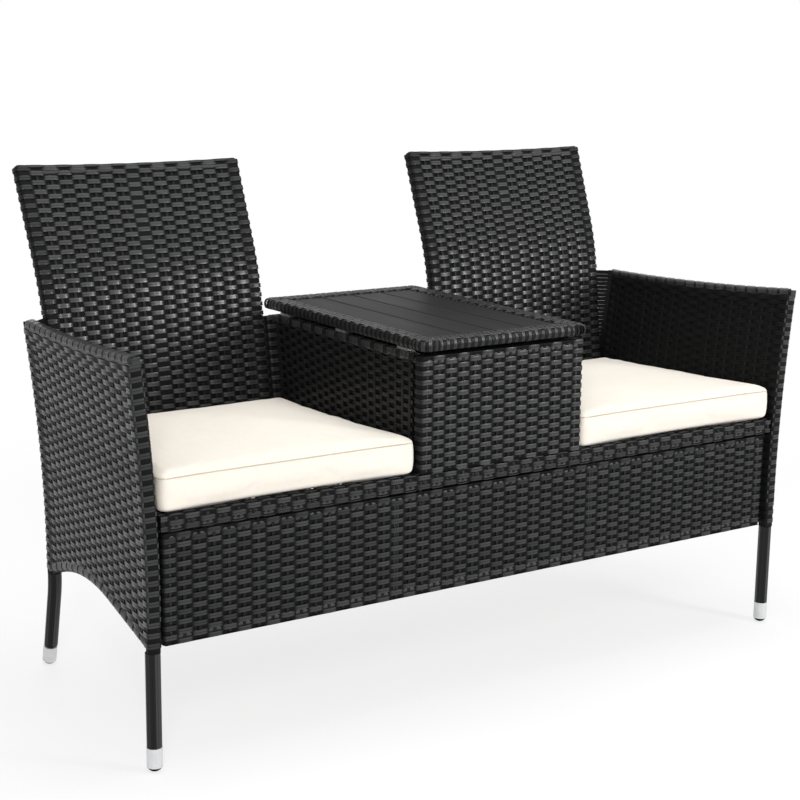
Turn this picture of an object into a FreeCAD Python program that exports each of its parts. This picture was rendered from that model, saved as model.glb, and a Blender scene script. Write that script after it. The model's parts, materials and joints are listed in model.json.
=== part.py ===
import FreeCAD
import Part
import math
import os
import re
import Sketcher
from FreeCAD import Placement, Rotation, Vector

# Two-seat rattan garden bench with a table between the seats.
# Widths are measured from the middle plane, depths back from the plane of the front legs
# and heights from the ground. The right half is modelled and mirrored.
doc = FreeCAD.newDocument("garden_bench")
sizes = doc.addObject("Spreadsheet::Sheet", "sizes")

driving = (
    ("tube_diameter", 18, "round frame tube"),
    ("tube_wall", 1.2, "wall of the round tube"),
    ("cross_diameter", 16, "tube of the arches and the lower back rails"),
    ("brace_diameter", 12, "thin tube inside the woven panels"),
    ("brace_wall", 1, "wall of the thin tube"),
    ("plug_depth", 16, "threaded plug in the end of a post"),
    ("strand_skin", 2.2, "thickness of the woven skin"),
    ("skin_clearance", 0.3, "play between the skin and what it covers"),
    ("panel_thickness", 17, "woven panel between its wrapped tubes"),
    ("sheet_inset", 3, "edge of a woven sheet past its tube's axis"),
    ("hollow_inset", 2, "edge of the hollow in that sheet past the axis"),
    ("front_leg_out", 15.5, "front leg's axis past the end of the front seat rail"),
    ("front_leg_x", "=seat_front_half + front_leg_out", "front leg from the middle plane"),
    ("front_flare", 23, "outward flare of the front leg up to the arm rail"),
    ("front_top_x", "=front_leg_x + front_flare", "top of the front leg"),
    ("rear_leg_out", 14, "rear leg's axis past the end of the rear seat rail"),
    ("rear_leg_x", "=seat_rear_half + rear_leg_out", "rear leg from the middle plane"),
    ("rear_flare", 27, "outward flare of the rear leg up to the arm rail"),
    ("rear_top_x", "=rear_leg_x + rear_flare", "top of the rear leg"),
    ("rear_foot_in", 7, "rear foot inwards from its leg"),
    ("rear_foot_x", "=rear_leg_x - rear_foot_in", "rear foot from the middle plane"),
    ("rear_leg_y", 446, "rear leg behind the front leg"),
    ("rear_foot_y", 498, "rear foot behind the front leg"),
    ("rake_height", 158, "where the rear leg bends back"),
    ("rake_radius", 120, "bend of the rear leg"),
    ("flare_height", 400, "where the legs lean outward"),
    ("flare_radius", 2900, "bend of the flare"),
    ("arm_front_z", 622, "arm rail axis at the front"),
    ("arm_middle_z", 608, "arm rail axis halfway"),
    ("arm_rear_z", 604, "arm rail axis at the rear"),
    ("arm_sag_radius", 1500, "bend of the arm rail"),
    ("arch_front_z", 198, "arched lower rail at the front leg"),
    ("arch_bend_y", 280, "bend of the arched rail behind the front leg"),
    ("arch_bend_z", 246, "height of that bend's corner"),
    ("arch_radius", 480, "radius of the arch"),
    ("arch_rear_z", 190, "arched lower rail at the rear leg"),
    ("arm_hem_front", 187, "lower end of the arm skin at the front leg"),
    ("arm_hem_rear", 181, "lower end of the arm skin at the rear leg"),
    ("dome_radius", 12.5, "dome of the foot glide"),
    ("glide_radius", 11, "rim of the foot glide"),
    ("glide_height", 7.3, "glide below the leg"),
    ("stem_length", 15, "stem of the glide inside the leg"),
    ("sleeve_diameter", 24, "metal sleeve above the glide"),
    ("sleeve_height", 31, "height of that sleeve"),
    ("seat_tube", 20, "square tube of the seat frame"),
    ("seat_wall", 1.5, "wall of the square tube"),
    ("seat_skin", 2.7, "woven skin on the seat frame"),
    ("seat_corner", 7, "rounding of the wrapped seat rails"),
    ("seat_front_y", 3, "axis of the front seat rail"),
    ("seat_front_z", 381.5, "height of the front seat rail"),
    ("seat_tilt", 1.5, "fall of the seat to the rear, degrees"),
    ("seat_depth", 430, "front seat rail to rear seat rail"),
    ("seat_front_half", 614, "half length of the front seat rail"),
    ("seat_rear_half", 583, "half length of the rear seat rail"),
    ("butt_gap", 1, "weld gap at the end of a slanted rail"),
    ("apron_in", 1, "apron's end inwards from the end of the front seat rail"),
    ("apron_half", "=seat_front_half - apron_in", "half length of the apron"),
    ("apron_low", 192, "lower edge of the apron"),
    ("apron_gap", 3, "shadow gap below the seat rail"),
    ("apron_front", -3, "front face of the apron"),
    ("apron_corner", 6, "rounding of the apron ends"),
    ("apron_end_gap", 1.5, "apron tubes inside the skin's open edges"),
    ("back_post_in", 11, "outer back post inwards from the end of the rear seat rail"),
    ("back_outer_foot", "=seat_rear_half - back_post_in", "outer back post at the seat"),
    ("back_flare", 19, "outward flare of the outer back post"),
    ("back_outer_top", "=back_outer_foot + back_flare", "outer back post at the top"),
    ("back_inner_foot", 195, "inner back post at the seat"),
    ("back_inner_top", 197, "inner back post at the top"),
    ("back_foot_gap", 2.8, "back post above the rear seat rail"),
    ("back_bend_y", 480, "bend of the back posts"),
    ("back_bend_z", 663, "height of that bend"),
    ("back_top_y", 554, "top rail of the back"),
    ("back_top_z", 845, "height of the top rail"),
    ("back_bend_radius", 500, "radius of the bend"),
    ("back_edge_round", 6, "rounding of the squared wrap along the back's edges"),
    ("console_half", 165, "half width of the console"),
    ("console_rear_out", 15, "rear console panel past the sides"),
    ("console_rear_half", "=console_half + console_rear_out", "half width of the rear console panel"),
    ("console_front", -12, "front face of the console"),
    ("console_top", 587, "upper edge of the console panels"),
    ("console_corner", 5, "rounding of the console edges"),
    ("console_seat_gap", 0.6, "console above the seat rails"),
    ("table_half", 166, "half width of the table top"),
    ("rim_reach", 19.5, "table edge in front of the front legs"),
    ("table_depth", 514.5, "length of the table top, front to rear"),
    ("rim_width", 37, "woven rim of the table"),
    ("rim_height", 20, "height of the rim"),
    ("rim_round", 8, "rounding of the rim's upper outer edge"),
    ("rim_inner_round", 4, "rounding of the rim's upper inner edge"),
    ("rim_corner", 10, "rounding of the table corners"),
    ("strap_thickness", 4.5, "steel strap under the table top"),
    ("strap_width", 30, "width of a strap"),
    ("strap_inset", 70, "first and last strap from the table's ends"),
    ("seat_play", 0.2, "play where a flat piece rests on another"),
    ("slat_gap", 2.5, "gap between table slats"),
    ("slat_thickness", 17, "thickness of a slat"),
    ("slat_edge", 1.5, "rounding of a slat"),
    ("cushion_side", 60, "cushion from its bottom to its upper seam"),
    ("cushion_crown", 10, "crown above the seam"),
    ("cushion_gap", 3, "cushion clear of the console"),
    ("cushion_arm_gap", 0.5, "cushion inside the line of the legs"),
    ("cushion_front", -8, "front of the cushion"),
    ("cushion_back_gap", 3, "cushion clear of the back"),
    ("cushion_corner", 32, "corner rounding of the cushion"),
    ("cushion_draw", 5, "how far the sides draw in between the corners"),
    ("bolt_diameter", 6, "frame bolt"),
    ("bolt_head_diameter", 10, "its head"),
    ("bolt_head_height", 3.5, "height of its head"),
    ("bolt_play", 0.2, "play of a bolt in its hole"),
    ("apron_bolt_x", 450, "outer apron bolts"),
    ("apron_bolt_y", 4.7, "apron bolts behind the front legs"),
    ("seat_bolt_front", 120, "front bolt of the seat to the arm"),
    ("seat_bolt_rear", 320, "rear bolt of the seat to the arm"),
    ("screw_diameter", 4, "table screw"),
    ("screw_head_diameter", 8, "its head"),
    ("screw_head_height", 2.2, "height of its head"),
    ("screw_bite", 10, "screw inside the table top"),
    ("rim_screw_inset", 10, "rim screw from the rim's inner edge"),
)
slat_count = 4
aliases = {alias for alias, value, meaning in driving}
for row, (alias, value, meaning) in enumerate(driving, 1):
    sizes.set(f"A{row}", meaning)
    sizes.set(f"B{row}", str(value))
    sizes.setAlias(f"B{row}", alias)
doc.recompute()
nodes = []


def expression(text):
    # Aliases in the text become references to the sheet.
    return re.sub(r"[a-z]\w*", lambda word: f"sizes.{word[0]}" if word[0] in aliases else word[0], text)


def mm(text):
    return float(sizes.evalExpression(expression(text)))


def bind(item, name, text):
    item.setExpression(name, expression(text))


# Sizes that follow from the driving ones
tube_radius = "tube_diameter / 2"
tube_bore = "(tube_diameter / 2 - tube_wall)"
tube_hole = "(tube_diameter / 2 + skin_clearance)"
wrap_radius = "(tube_diameter / 2 + skin_clearance + strand_skin)"
wrap_width = f"(2 * {wrap_radius})"
cross_radius = "cross_diameter / 2"
cross_bore = "(cross_diameter / 2 - tube_wall)"
cross_hole = "(cross_diameter / 2 + skin_clearance)"
cross_wrap = "(cross_diameter / 2 + skin_clearance + strand_skin)"
brace_radius = "brace_diameter / 2"
brace_hole = "(brace_diameter / 2 + skin_clearance)"
seat_band = "(seat_tube + 2 * (skin_clearance + seat_skin))"
bolt_hole = "(bolt_diameter / 2 + bolt_play)"
screw_hole = "(screw_diameter / 2 + bolt_play)"
deck_level = "(seat_tube / 2 + seat_play)"
strap_level = "(console_top + seat_play)"
table_level = f"({strap_level} + strap_thickness + seat_play)"
plane_y = (mm("rim_reach") - mm(f"back_top_y + {wrap_radius}")) / 2
up = Vector(0, 0, 1)
across = Vector(1, 0, 0)


def at(x, y, z):
    # The bench's own axes: depth counts from the front legs, the origin lies under the middle.
    return Vector(x, y + plane_y, z)


seat_place = Placement(at(0, mm("seat_front_y"), mm("seat_front_z")), Rotation(across, -mm("seat_tilt")))


def on_seat(x, y, z):
    return seat_place.multVec(Vector(x, y, z))


def blend(start, end, share):
    return start + (end - start) * share


# Paths, pipes and strips
def rounded_path(points, radii, parts=1):
    # Straight runs joined by tangent arcs, one radius for each inner point; 0 is a sharp corner.
    # Long arcs are made in several parts, so that their faces stay short.
    edges = []
    start = points[0]
    for before, corner, after, radius in zip(points, points[1:], points[2:], radii):
        if radius == 0:
            edges.append(Part.LineSegment(start, corner).toShape())
            start = corner
            continue
        first = (before - corner).normalize()
        second = (after - corner).normalize()
        half = first.getAngle(second) / 2
        reach = radius / math.tan(half)
        center = corner + (first + second).normalize() * (radius / math.sin(half))
        spoke = corner + first * reach - center
        step = (180 - 2 * math.degrees(half)) / (2 * parts)
        spots = [center + Rotation(second.cross(first), step * i).multVec(spoke) for i in range(2 * parts + 1)]
        edges.append(Part.LineSegment(start, spots[0]).toShape())
        edges += [Part.Arc(*spots[i:i + 3]).toShape() for i in range(0, 2 * parts, 2)]
        start = spots[-1]
    edges.append(Part.LineSegment(start, points[-1]).toShape())
    return Part.Wire(edges)


def pipe(path, radius):
    start = path.Edges[0].valueAt(path.Edges[0].FirstParameter)
    along = path.Edges[0].tangentAt(path.Edges[0].FirstParameter)
    ring = Part.Wire(Part.makeCircle(radius, start, along))
    return path.makePipeShell([ring], True, False, 1)


def square_pipe(path, half, rounding, facing):
    # A squared wrap with rounded edges; one pair of its sides faces the given way.
    start = path.Edges[0].valueAt(path.Edges[0].FirstParameter)
    along = path.Edges[0].tangentAt(path.Edges[0].FirstParameter)
    side = along.cross(facing).normalize() * half
    front = side.cross(along).normalize() * half
    corners = [start + front, start + front + side, start + side - front, start - side - front,
               start + front - side, start + front]
    return path.makePipeShell([rounded_path(corners, [rounding] * 4)], True, False, 1)


def rod(start, end, radius):
    return Part.makeCylinder(radius, (end - start).Length, start, end - start)


def join(shapes):
    # Overlapping solids made one, with a small tolerance where the plain union drops a piece.
    whole = shapes[0]
    for shape in shapes[1:]:
        joined = whole.fuse(shape)
        if joined.Volume < max(whole.Volume, shape.Volume):
            joined = whole.fuse(shape, 0.001)
        whole = joined
    return whole


def carve(shape, tools):
    for tool in tools:
        shape = shape.cut(tool)
    return shape


def strip(points, radius, half, lift):
    # A band of constant width along a line with one bend; lift puts its flat points in space.
    (ax, ay), (bx, by), (cx, cy) = points
    turns = [math.atan2(by - ay, bx - ax), math.atan2(cy - by, cx - bx)]
    bend = (turns[1] - turns[0]) / 2
    edges = []
    for side in (1, -1):
        shift = side * half
        middle = sum(turns) / 2
        offsets = (
            (ax - shift * math.sin(turns[0]), ay + shift * math.cos(turns[0])),
            (bx - shift / math.cos(bend) * math.sin(middle), by + shift / math.cos(bend) * math.cos(middle)),
            (cx - shift * math.sin(turns[1]), cy + shift * math.cos(turns[1])),
        )
        run = [lift(a, b) for a, b in offsets]
        edges.append(rounded_path(run, [radius - shift * math.copysign(1, bend)]).Edges)
    left, right = edges
    first = Part.LineSegment(left[-1].Vertexes[-1].Point, right[-1].Vertexes[-1].Point).toShape()
    last = Part.LineSegment(right[0].Vertexes[0].Point, left[0].Vertexes[0].Point).toShape()
    return Part.Wire(left + [first] + right[::-1] + [last])


def bent_tube(name, path, outside, bore):
    # A tube swept along its path, with both radii bound to the sheet.
    route = doc.addObject("Part::Feature", f"{name}_path")
    route.Shape = path
    edge = path.Edges[0]
    along = edge.tangentAt(edge.FirstParameter)
    walls = []
    for tag, text in (("outside", outside), ("bore", bore)):
        ring = doc.addObject("Part::Circle", f"{name}_{tag}_ring")
        bind(ring, "Radius", text)
        ring.Placement = Placement(edge.valueAt(edge.FirstParameter), Rotation(up, along))
        sweep = doc.addObject("Part::Sweep", f"{name}_{tag}")
        sweep.Sections = [ring]
        sweep.Spine = (route, [f"Edge{index}" for index in range(1, len(path.Edges) + 1)])
        sweep.Solid = True
        sweep.Transition = "Right corner"
        walls.append(sweep)
    tube = doc.addObject("Part::Cut", name)
    tube.Base, tube.Tool = walls
    return tube


def solid_tool(name, shape):
    tool = doc.addObject("Part::Feature", name)
    tool.Shape = shape
    return tool


def cut_by(name, base, shapes):
    result = doc.addObject("Part::Cut", name)
    result.Base = base
    result.Tool = solid_tool(f"{name}_tool", Part.makeCompound(shapes))
    return result


def finish(item, label):
    item.Label = label
    nodes.append(item)


def finish_pair(item, label):
    # The modelled piece is the right one; its mirror image is the left one.
    finish(item, f"{label}_right")
    mirror = doc.addObject("Part::Mirroring", f"{label}_mirror")
    mirror.Source = item
    mirror.Normal = across
    finish(mirror, f"{label}_left")


# Bodies drawn from bound outlines
def sketch_on(body, role, tag="outline"):
    sketch = body.newObject("Sketcher::SketchObject", f"{body.Name}_{tag}")
    plane = next(item for item in body.Origin.OriginFeatures if item.Role == role)
    sketch.AttachmentSupport = (plane, [""])
    sketch.MapMode = "FlatFace"
    return sketch


def add_outline(sketch, corners):
    points = [Vector(mm(x), mm(y), 0) for x, y in corners]
    first = sketch.GeometryCount
    for start, end in zip(points, points[1:] + points[:1]):
        sketch.addGeometry(Part.LineSegment(start, end), False)
    for step, (x, y) in enumerate(corners):
        following = first + (step + 1) % len(corners)
        sketch.addConstraint(Sketcher.Constraint("Coincident", first + step, 2, following, 1))
        for direction, text in (("DistanceX", x), ("DistanceY", y)):
            index = sketch.addConstraint(Sketcher.Constraint(direction, -1, 1, first + step, 1, mm(text)))
            bind(sketch, f"Constraints[{index}]", text)


def add_ring(sketch, radius):
    circle = sketch.addGeometry(Part.Circle(Vector(), up, mm(radius)), False)
    sketch.addConstraint(Sketcher.Constraint("Coincident", circle, 3, -1, 1))
    index = sketch.addConstraint(Sketcher.Constraint("Radius", circle, mm(radius)))
    bind(sketch, f"Constraints[{index}]", radius)


def rectangle(half_width, half_height):
    return [(f"-({half_width})", f"-({half_height})"), (half_width, f"-({half_height})"),
            (half_width, half_height), (f"-({half_width})", half_height)]


def pad(body, sketch, length, symmetric=False):
    feature = body.newObject("PartDesign::Pad", f"{body.Name}_pad")
    feature.Profile = sketch
    feature.SideType = "Symmetric" if symmetric else "One side"
    bind(feature, "Length", length)
    doc.recompute()


def round_edges(body, radius, wanted):
    base = body.Tip
    names = [f"Edge{index}" for index, edge in enumerate(base.Shape.Edges, 1) if wanted(edge)]
    feature = body.newObject("PartDesign::Fillet", f"{body.Name}_rounding{len(body.Group)}")
    feature.Base = (base, names)
    bind(feature, "Radius", radius)
    doc.recompute()


def along_axis(edge, axis):
    first, last = edge.Vertexes[0].Point, edge.Vertexes[-1].Point
    return abs(abs((last - first).dot(axis)) - edge.Length) < 1e-6 and edge.Length > 1e-6


def plate(name, role, corners, thickness, symmetric=False):
    body = doc.addObject("PartDesign::Body", name)
    sketch = sketch_on(body, role)
    add_outline(sketch, corners)
    pad(body, sketch, thickness, symmetric)
    return body


def hollow_bar(name, role, outer, inner, length, symmetric=True):
    body = doc.addObject("PartDesign::Body", name)
    sketch = sketch_on(body, role)
    add_outline(sketch, rectangle(*outer))
    add_outline(sketch, rectangle(*inner))
    pad(body, sketch, length, symmetric)
    return body


def woven_sleeve(name, half_length, height, corner):
    # A flat woven panel that slips over its tube frame: closed at the ends, open above and below.
    half = f"({wrap_width} / 2)"
    outer = (half_length, half)
    inner = (f"{half_length} - strand_skin", f"{half} - strand_skin")
    body = hollow_bar(name, "XY_Plane", outer, inner, height, False)
    edge_x = mm(half_length)
    round_edges(body, corner,
                lambda edge: along_axis(edge, up) and abs(abs(edge.Vertexes[0].X) - edge_x) < 1e-6)
    return body


def welded_tubes(name, runs):
    # Straight tubes welded into one frame; each run is a start, a direction, a length and its radii.
    solids = {"outside": [], "bore": []}
    for index, (start, along, length, outside, bore) in enumerate(runs):
        for tag, radius in (("outside", outside), ("bore", bore)):
            cylinder = doc.addObject("Part::Cylinder", f"{name}_{tag}{index}")
            bind(cylinder, "Radius", radius)
            bind(cylinder, "Height", length)
            cylinder.Placement = Placement(start, Rotation(up, along))
            solids[tag].append(cylinder)
    frame = doc.addObject("Part::Cut", name)
    parts = []
    for tag, group in solids.items():
        fused = doc.addObject("Part::MultiFuse", f"{name}_{tag}_all")
        fused.Shapes = group
        parts.append(fused)
    frame.Base, frame.Tool = parts
    return frame


def bolt(start, along, length, shank="bolt_diameter", head="bolt_head_diameter", tall="bolt_head_height"):
    # Head below start, shank from start along its axis.
    axis = Vector(along).normalize()
    cap = Part.makeCylinder(mm(head) / 2, mm(tall), start - axis * mm(tall), axis)
    return cap.fuse(Part.makeCylinder(mm(shank) / 2, length, start, axis)).removeSplitter()


def bolt_bore(start, along, length, hole):
    axis = Vector(along).normalize()
    return Part.makeCylinder(mm(hole), length, start, axis)


def mirrored(shape):
    return shape.mirror(Vector(), across)


# Arms: two bent legs, an arm rail, an arched lower rail and a seat brace under one woven skin
foot_center = {
    "front": at(mm("front_leg_x"), 0, mm("dome_radius")),
    "rear": at(mm("rear_foot_x"), mm("rear_foot_y"), mm("dome_radius")),
}
front_low = at(mm("front_leg_x"), 0, mm("rake_height"))
front_bend = at(mm("front_leg_x"), 0, mm("flare_height"))
front_top = at(mm("front_top_x"), 0, mm("arm_front_z"))
rear_rake = at(mm("rear_leg_x"), mm("rear_leg_y"), mm("rake_height"))
rear_bend = at(mm("rear_leg_x"), mm("rear_leg_y"), mm("flare_height"))
rear_top = at(mm("rear_top_x"), mm("rear_leg_y"), mm("arm_rear_z"))
arm_middle = blend(front_top, rear_top, 0.5)
arm_middle.z = mm("arm_middle_z")
leg_axis = {
    "front": Vector(up),
    "rear": (rear_rake - foot_center["rear"]).normalize(),
}
# The glide fills the space under the leg, so the leg starts at its upper face.
leg_start = {end: foot_center[end] + leg_axis[end] * mm("glide_height - dome_radius + seat_play")
             for end in foot_center}
sleeve_top = {end: leg_start[end] + leg_axis[end] * mm("sleeve_height") for end in foot_center}
flare = mm("flare_radius")
bend_parts = 5
leg_path = {
    "front": rounded_path([leg_start["front"], front_bend, front_top], [flare], bend_parts),
    "rear": rounded_path([leg_start["rear"], rear_rake, rear_bend, rear_top], [mm("rake_radius"), flare],
                         bend_parts),
}


def rail_line(overrun):
    # The arm rail's axis, run past the leg axes at both ends
    ends = [point + (point - arm_middle).normalize() * overrun for point in (front_top, rear_top)]
    return rounded_path([ends[0], arm_middle, ends[1]], [mm("arm_sag_radius")], 2)


rail_path = rail_line(mm(tube_radius))


def leg_x(end, z):
    # Distance of the leg's axis from the middle plane at a height below its straight top
    low, top, reach = mm(f"{end}_leg_x"), mm(f"{end}_top_x"), mm(f"arm_{end}_z - flare_height")
    start = mm("flare_height") - flare * math.tan(math.atan2(top - low, reach) / 2)
    rise = max(0, z - start)
    return low + flare - math.sqrt(flare * flare - rise * rise)


arch_front = at(leg_x("front", 0), 0, mm("arch_front_z"))
arch_rear = at(leg_x("rear", 0), mm("rear_leg_y"), mm("arch_rear_z"))
arch_bend = blend(arch_front, arch_rear, mm("arch_bend_y / rear_leg_y"))
arch_bend.z = mm("arch_bend_z")
arch_path = rounded_path([arch_front, arch_bend, arch_rear], [mm("arch_radius")], 2 * bend_parts)
seat_slope = math.tan(math.radians(mm("seat_tilt")))


def seat_axis_z(y):
    # Height of the seat rails' axes at a depth behind the front legs
    return mm("seat_front_z") - (y - mm("seat_front_y")) * seat_slope


brace_ends = {"front": 0, "rear": mm("rear_leg_y")}
brace_front, brace_rear = (at(leg_x(end, seat_axis_z(y)), y, seat_axis_z(y)) for end, y in brace_ends.items())

# Bolts that hold the seat's end rails to the arm braces
seat_bolts = []
seat_bolt_bores = []
end_slope = (mm("seat_front_half") - mm("seat_rear_half")) / mm("seat_depth")
for alias in ("seat_bolt_front", "seat_bolt_rear"):
    along_rail = mm(alias)
    inner_face = mm("seat_front_half") - end_slope * along_rail - mm("seat_tube + butt_gap")
    start = on_seat(inner_face, along_rail, 0)
    share = (start.y - brace_front.y) / (brace_rear.y - brace_front.y)
    reach = blend(brace_front.x, brace_rear.x, share) + mm(brace_radius) - inner_face
    seat_bolts.append(bolt(start, across, reach))
    seat_bolt_bores.append(bolt_bore(start, across, reach + mm("bolt_play"), bolt_hole))

rail_tool = pipe(rail_path, mm(f"{tube_radius} + skin_clearance + seat_play"))
for end in ("front", "rear"):
    tube = bent_tube(f"{end}_leg_tube", leg_path[end], tube_radius, tube_bore)
    cope = pipe(rail_line(mm("tube_diameter")), mm(f"{tube_radius} + seat_play"))
    coped = cut_by(f"{end}_leg", tube, [cope])
    finish_pair(coped, f"{end}_leg")
    hem = mm(f"arm_hem_{end}") - mm("skin_clearance")
    hem_point = at(leg_x(end, hem), 0 if end == "front" else mm("rear_leg_y"), hem)
    if end == "front":
        wrap_path = Part.Wire(Part.LineSegment(sleeve_top[end], hem_point).toShape())
    else:
        wrap_path = rounded_path([sleeve_top[end], rear_rake, hem_point], [mm("rake_radius")])
    finish_pair(bent_tube(f"{end}_leg_wrap", wrap_path, wrap_radius, tube_hole), f"{end}_leg_wrap")
arm_rail = bent_tube("arm_rail_tube", rail_path, tube_radius, tube_bore)
finish_pair(arm_rail, "arm_rail")
leg_tools = [pipe(leg_path[end], mm(f"{tube_radius} + seat_play")) for end in leg_path]
arch_tube = bent_tube("arm_arch_tube", arch_path, cross_radius, cross_bore)
finish_pair(cut_by("arm_arch_rail", arch_tube, leg_tools), "arm_arch_rail")
brace_path = Part.Wire(Part.LineSegment(brace_front, brace_rear).toShape())
brace_tube = bent_tube("arm_brace_tube", brace_path, brace_radius, "(brace_diameter / 2 - brace_wall)")
finish_pair(cut_by("arm_seat_brace", brace_tube, leg_tools + seat_bolt_bores), "arm_seat_brace")


def arm_core(half, inset):
    # The flared sheet between the legs, cut away below the arch; its edges end inside the wraps.
    sections = []
    share = inset / mm("rear_leg_y")
    for part in (share, 1 - share):
        low, bend, top = (blend(front, rear, part) for front, rear in (
            (front_low, rear_rake), (front_bend, rear_bend), (front_top, rear_top)))
        top += (bend - top).normalize() * inset
        flat = ((low.x, low.z), (bend.x, bend.z), (top.x, top.z))
        sections.append(strip(flat, flare, half, lambda a, b, y=top.y: Vector(a, y, b)))
    sheet = Part.makeLoft(sections, True, True)
    line = [Vector(0, point.y, point.z) for point in (arch_front, arch_bend, arch_rear)]
    edges = rounded_path(line, [mm("arch_radius")]).Edges
    ground = [Vector(0, point.y, 0) for point in (arch_rear, arch_front)]
    sides = ((line[2], ground[0]), ground, (ground[1], line[0]))
    edges += [Part.LineSegment(*ends).toShape() for ends in sides]
    cutter = Part.Face(Part.Wire(edges)).extrude(across * mm("2 * front_top_x"))
    return sheet.cut(cutter)


hem_front = at(mm("front_leg_x"), 0, mm("arm_hem_front"))
hem_rear = at(mm("rear_leg_x"), mm("rear_leg_y"), mm("arm_hem_rear"))
hoop_points = [hem_front, front_bend, front_top, arm_middle, rear_top, rear_bend, hem_rear]
hoop_path = rounded_path(hoop_points, [flare, 0, mm("arm_sag_radius"), 0, flare], bend_parts)
arm_skin = join([
    pipe(hoop_path, mm(wrap_radius)),
    arm_core(mm("panel_thickness") / 2, mm("sheet_inset")),
    pipe(arch_path, mm(cross_wrap)),
])
arm_hollow = [arm_core(mm("panel_thickness / 2 - strand_skin"), mm("hollow_inset"))]
arm_hollow += [rail_tool, pipe(arch_path, mm(cross_hole))]
arm_hollow += [pipe(leg_path[end], mm(f"{tube_radius} + 2 * skin_clearance")) for end in leg_path]
arm_hollow += seat_bolt_bores
arm_panel = solid_tool("arm_panel", carve(arm_skin, arm_hollow))
finish_pair(arm_panel, "arm_panel")

# Feet: a metal sleeve and a domed glide on each leg
for end in ("front", "rear"):
    tilt = Rotation(up, leg_axis[end])
    sleeve = doc.addObject("PartDesign::Body", f"{end}_foot_sleeve")
    outline = sketch_on(sleeve, "XY_Plane")
    add_ring(outline, "sleeve_diameter / 2")
    add_ring(outline, tube_hole)
    pad(sleeve, outline, "sleeve_height - seat_play")
    sleeve.Placement = Placement(leg_start[end], tilt)
    finish_pair(sleeve, f"{end}_foot_sleeve")
    dome = doc.addObject("Part::Sphere", f"{end}_glide_dome")
    bind(dome, "Radius", "dome_radius")
    rim = doc.addObject("Part::Cylinder", f"{end}_glide_rim")
    bind(rim, "Radius", "glide_radius")
    bind(rim, "Height", "glide_height")
    rim.Placement = Placement(Vector(0, 0, -mm("dome_radius")), Rotation())
    cap = doc.addObject("Part::Common", f"{end}_glide_cap")
    cap.Base, cap.Tool = dome, rim
    stem = doc.addObject("Part::Cylinder", f"{end}_glide_stem")
    bind(stem, "Radius", f"{tube_bore} - skin_clearance")
    bind(stem, "Height", "stem_length + glide_height / 2")
    stem.Placement = Placement(Vector(0, 0, mm("glide_height / 2 - dome_radius")), Rotation())
    glide = doc.addObject("Part::Fuse", f"{end}_foot_glide")
    glide.Base, glide.Tool = cap, stem
    glide.Placement = Placement(foot_center[end], tilt)
    finish_pair(glide, f"{end}_foot_glide")

# Seat: a tilted frame of square tube with wrapped front and rear rails and two woven decks
band_half = f"({seat_band} / 2)"
deck_front = f"({band_half} + skin_clearance)"
deck_rear = f"(seat_depth - {band_half} - skin_clearance)"
rail_run = f"(seat_depth - {seat_band} - 2 * skin_clearance)"
post_x = f"(console_half - {wrap_radius})"
rear_post_x = f"(console_rear_half - {wrap_radius})"
back_foot_center = on_seat(0, mm("seat_depth"), mm(band_half))
back_foot = back_foot_center + up * mm("back_foot_gap")
back_rise = mm("back_bend_z") - back_foot.z
back_lean = math.atan2(mm("back_bend_y") + plane_y - back_foot.y, back_rise)
post_axis = Vector(0, math.sin(back_lean), math.cos(back_lean))
post_drop = mm(f"{seat_band} + bolt_head_diameter / 2")


def back_post_foot(x):
    return Vector(x, back_foot.y, back_foot.z)


def back_post_axis(foot_x, top_x):
    # Direction of a back post below its bend; the posts spread evenly to the top.
    spread = (top_x - foot_x) / (mm("back_top_z") - back_foot.z)
    return Vector(spread * back_rise, mm("back_bend_y") + plane_y - back_foot.y, back_rise).normalize()


post_lines = [
    (back_post_foot(mm("back_outer_foot")), back_post_axis(mm("back_outer_foot"), mm("back_outer_top"))),
    (back_post_foot(mm("back_inner_foot")), back_post_axis(mm("back_inner_foot"), mm("back_inner_top"))),
    (back_post_foot(mm(rear_post_x)), post_axis),
]
post_bolts = []
post_bores = []
for foot, axis in post_lines:
    length = post_drop + mm("plug_depth - bolt_head_height")
    post_bolts.append(bolt(foot - axis * post_drop, axis, length))
    post_bores.append(bolt_bore(foot - axis * post_drop, axis, length + mm("bolt_play"), bolt_hole))
post_bores += [mirrored(bore) for bore in post_bores]

apron_top = f"(seat_front_z - {band_half} - apron_gap)"
apron_tube_z = f"({apron_top} - {tube_radius} - apron_end_gap)"
apron_bolts = []
apron_bores = []
for x, rise in ((mm("apron_bolt_x"), mm("seat_front_z + seat_tube / 2")),
                (mm(post_x), mm(f"seat_front_z + {band_half} + plug_depth / 2"))):
    start = at(x, mm("apron_bolt_y"), mm(f"{apron_tube_z} - {tube_radius} - seat_play"))
    apron_bolts.append(bolt(start, up, rise - start.z))
    apron_bores.append(bolt_bore(start, up, rise - start.z + mm("bolt_play"), bolt_hole))
apron_bores += [mirrored(bore) for bore in apron_bores]

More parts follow.
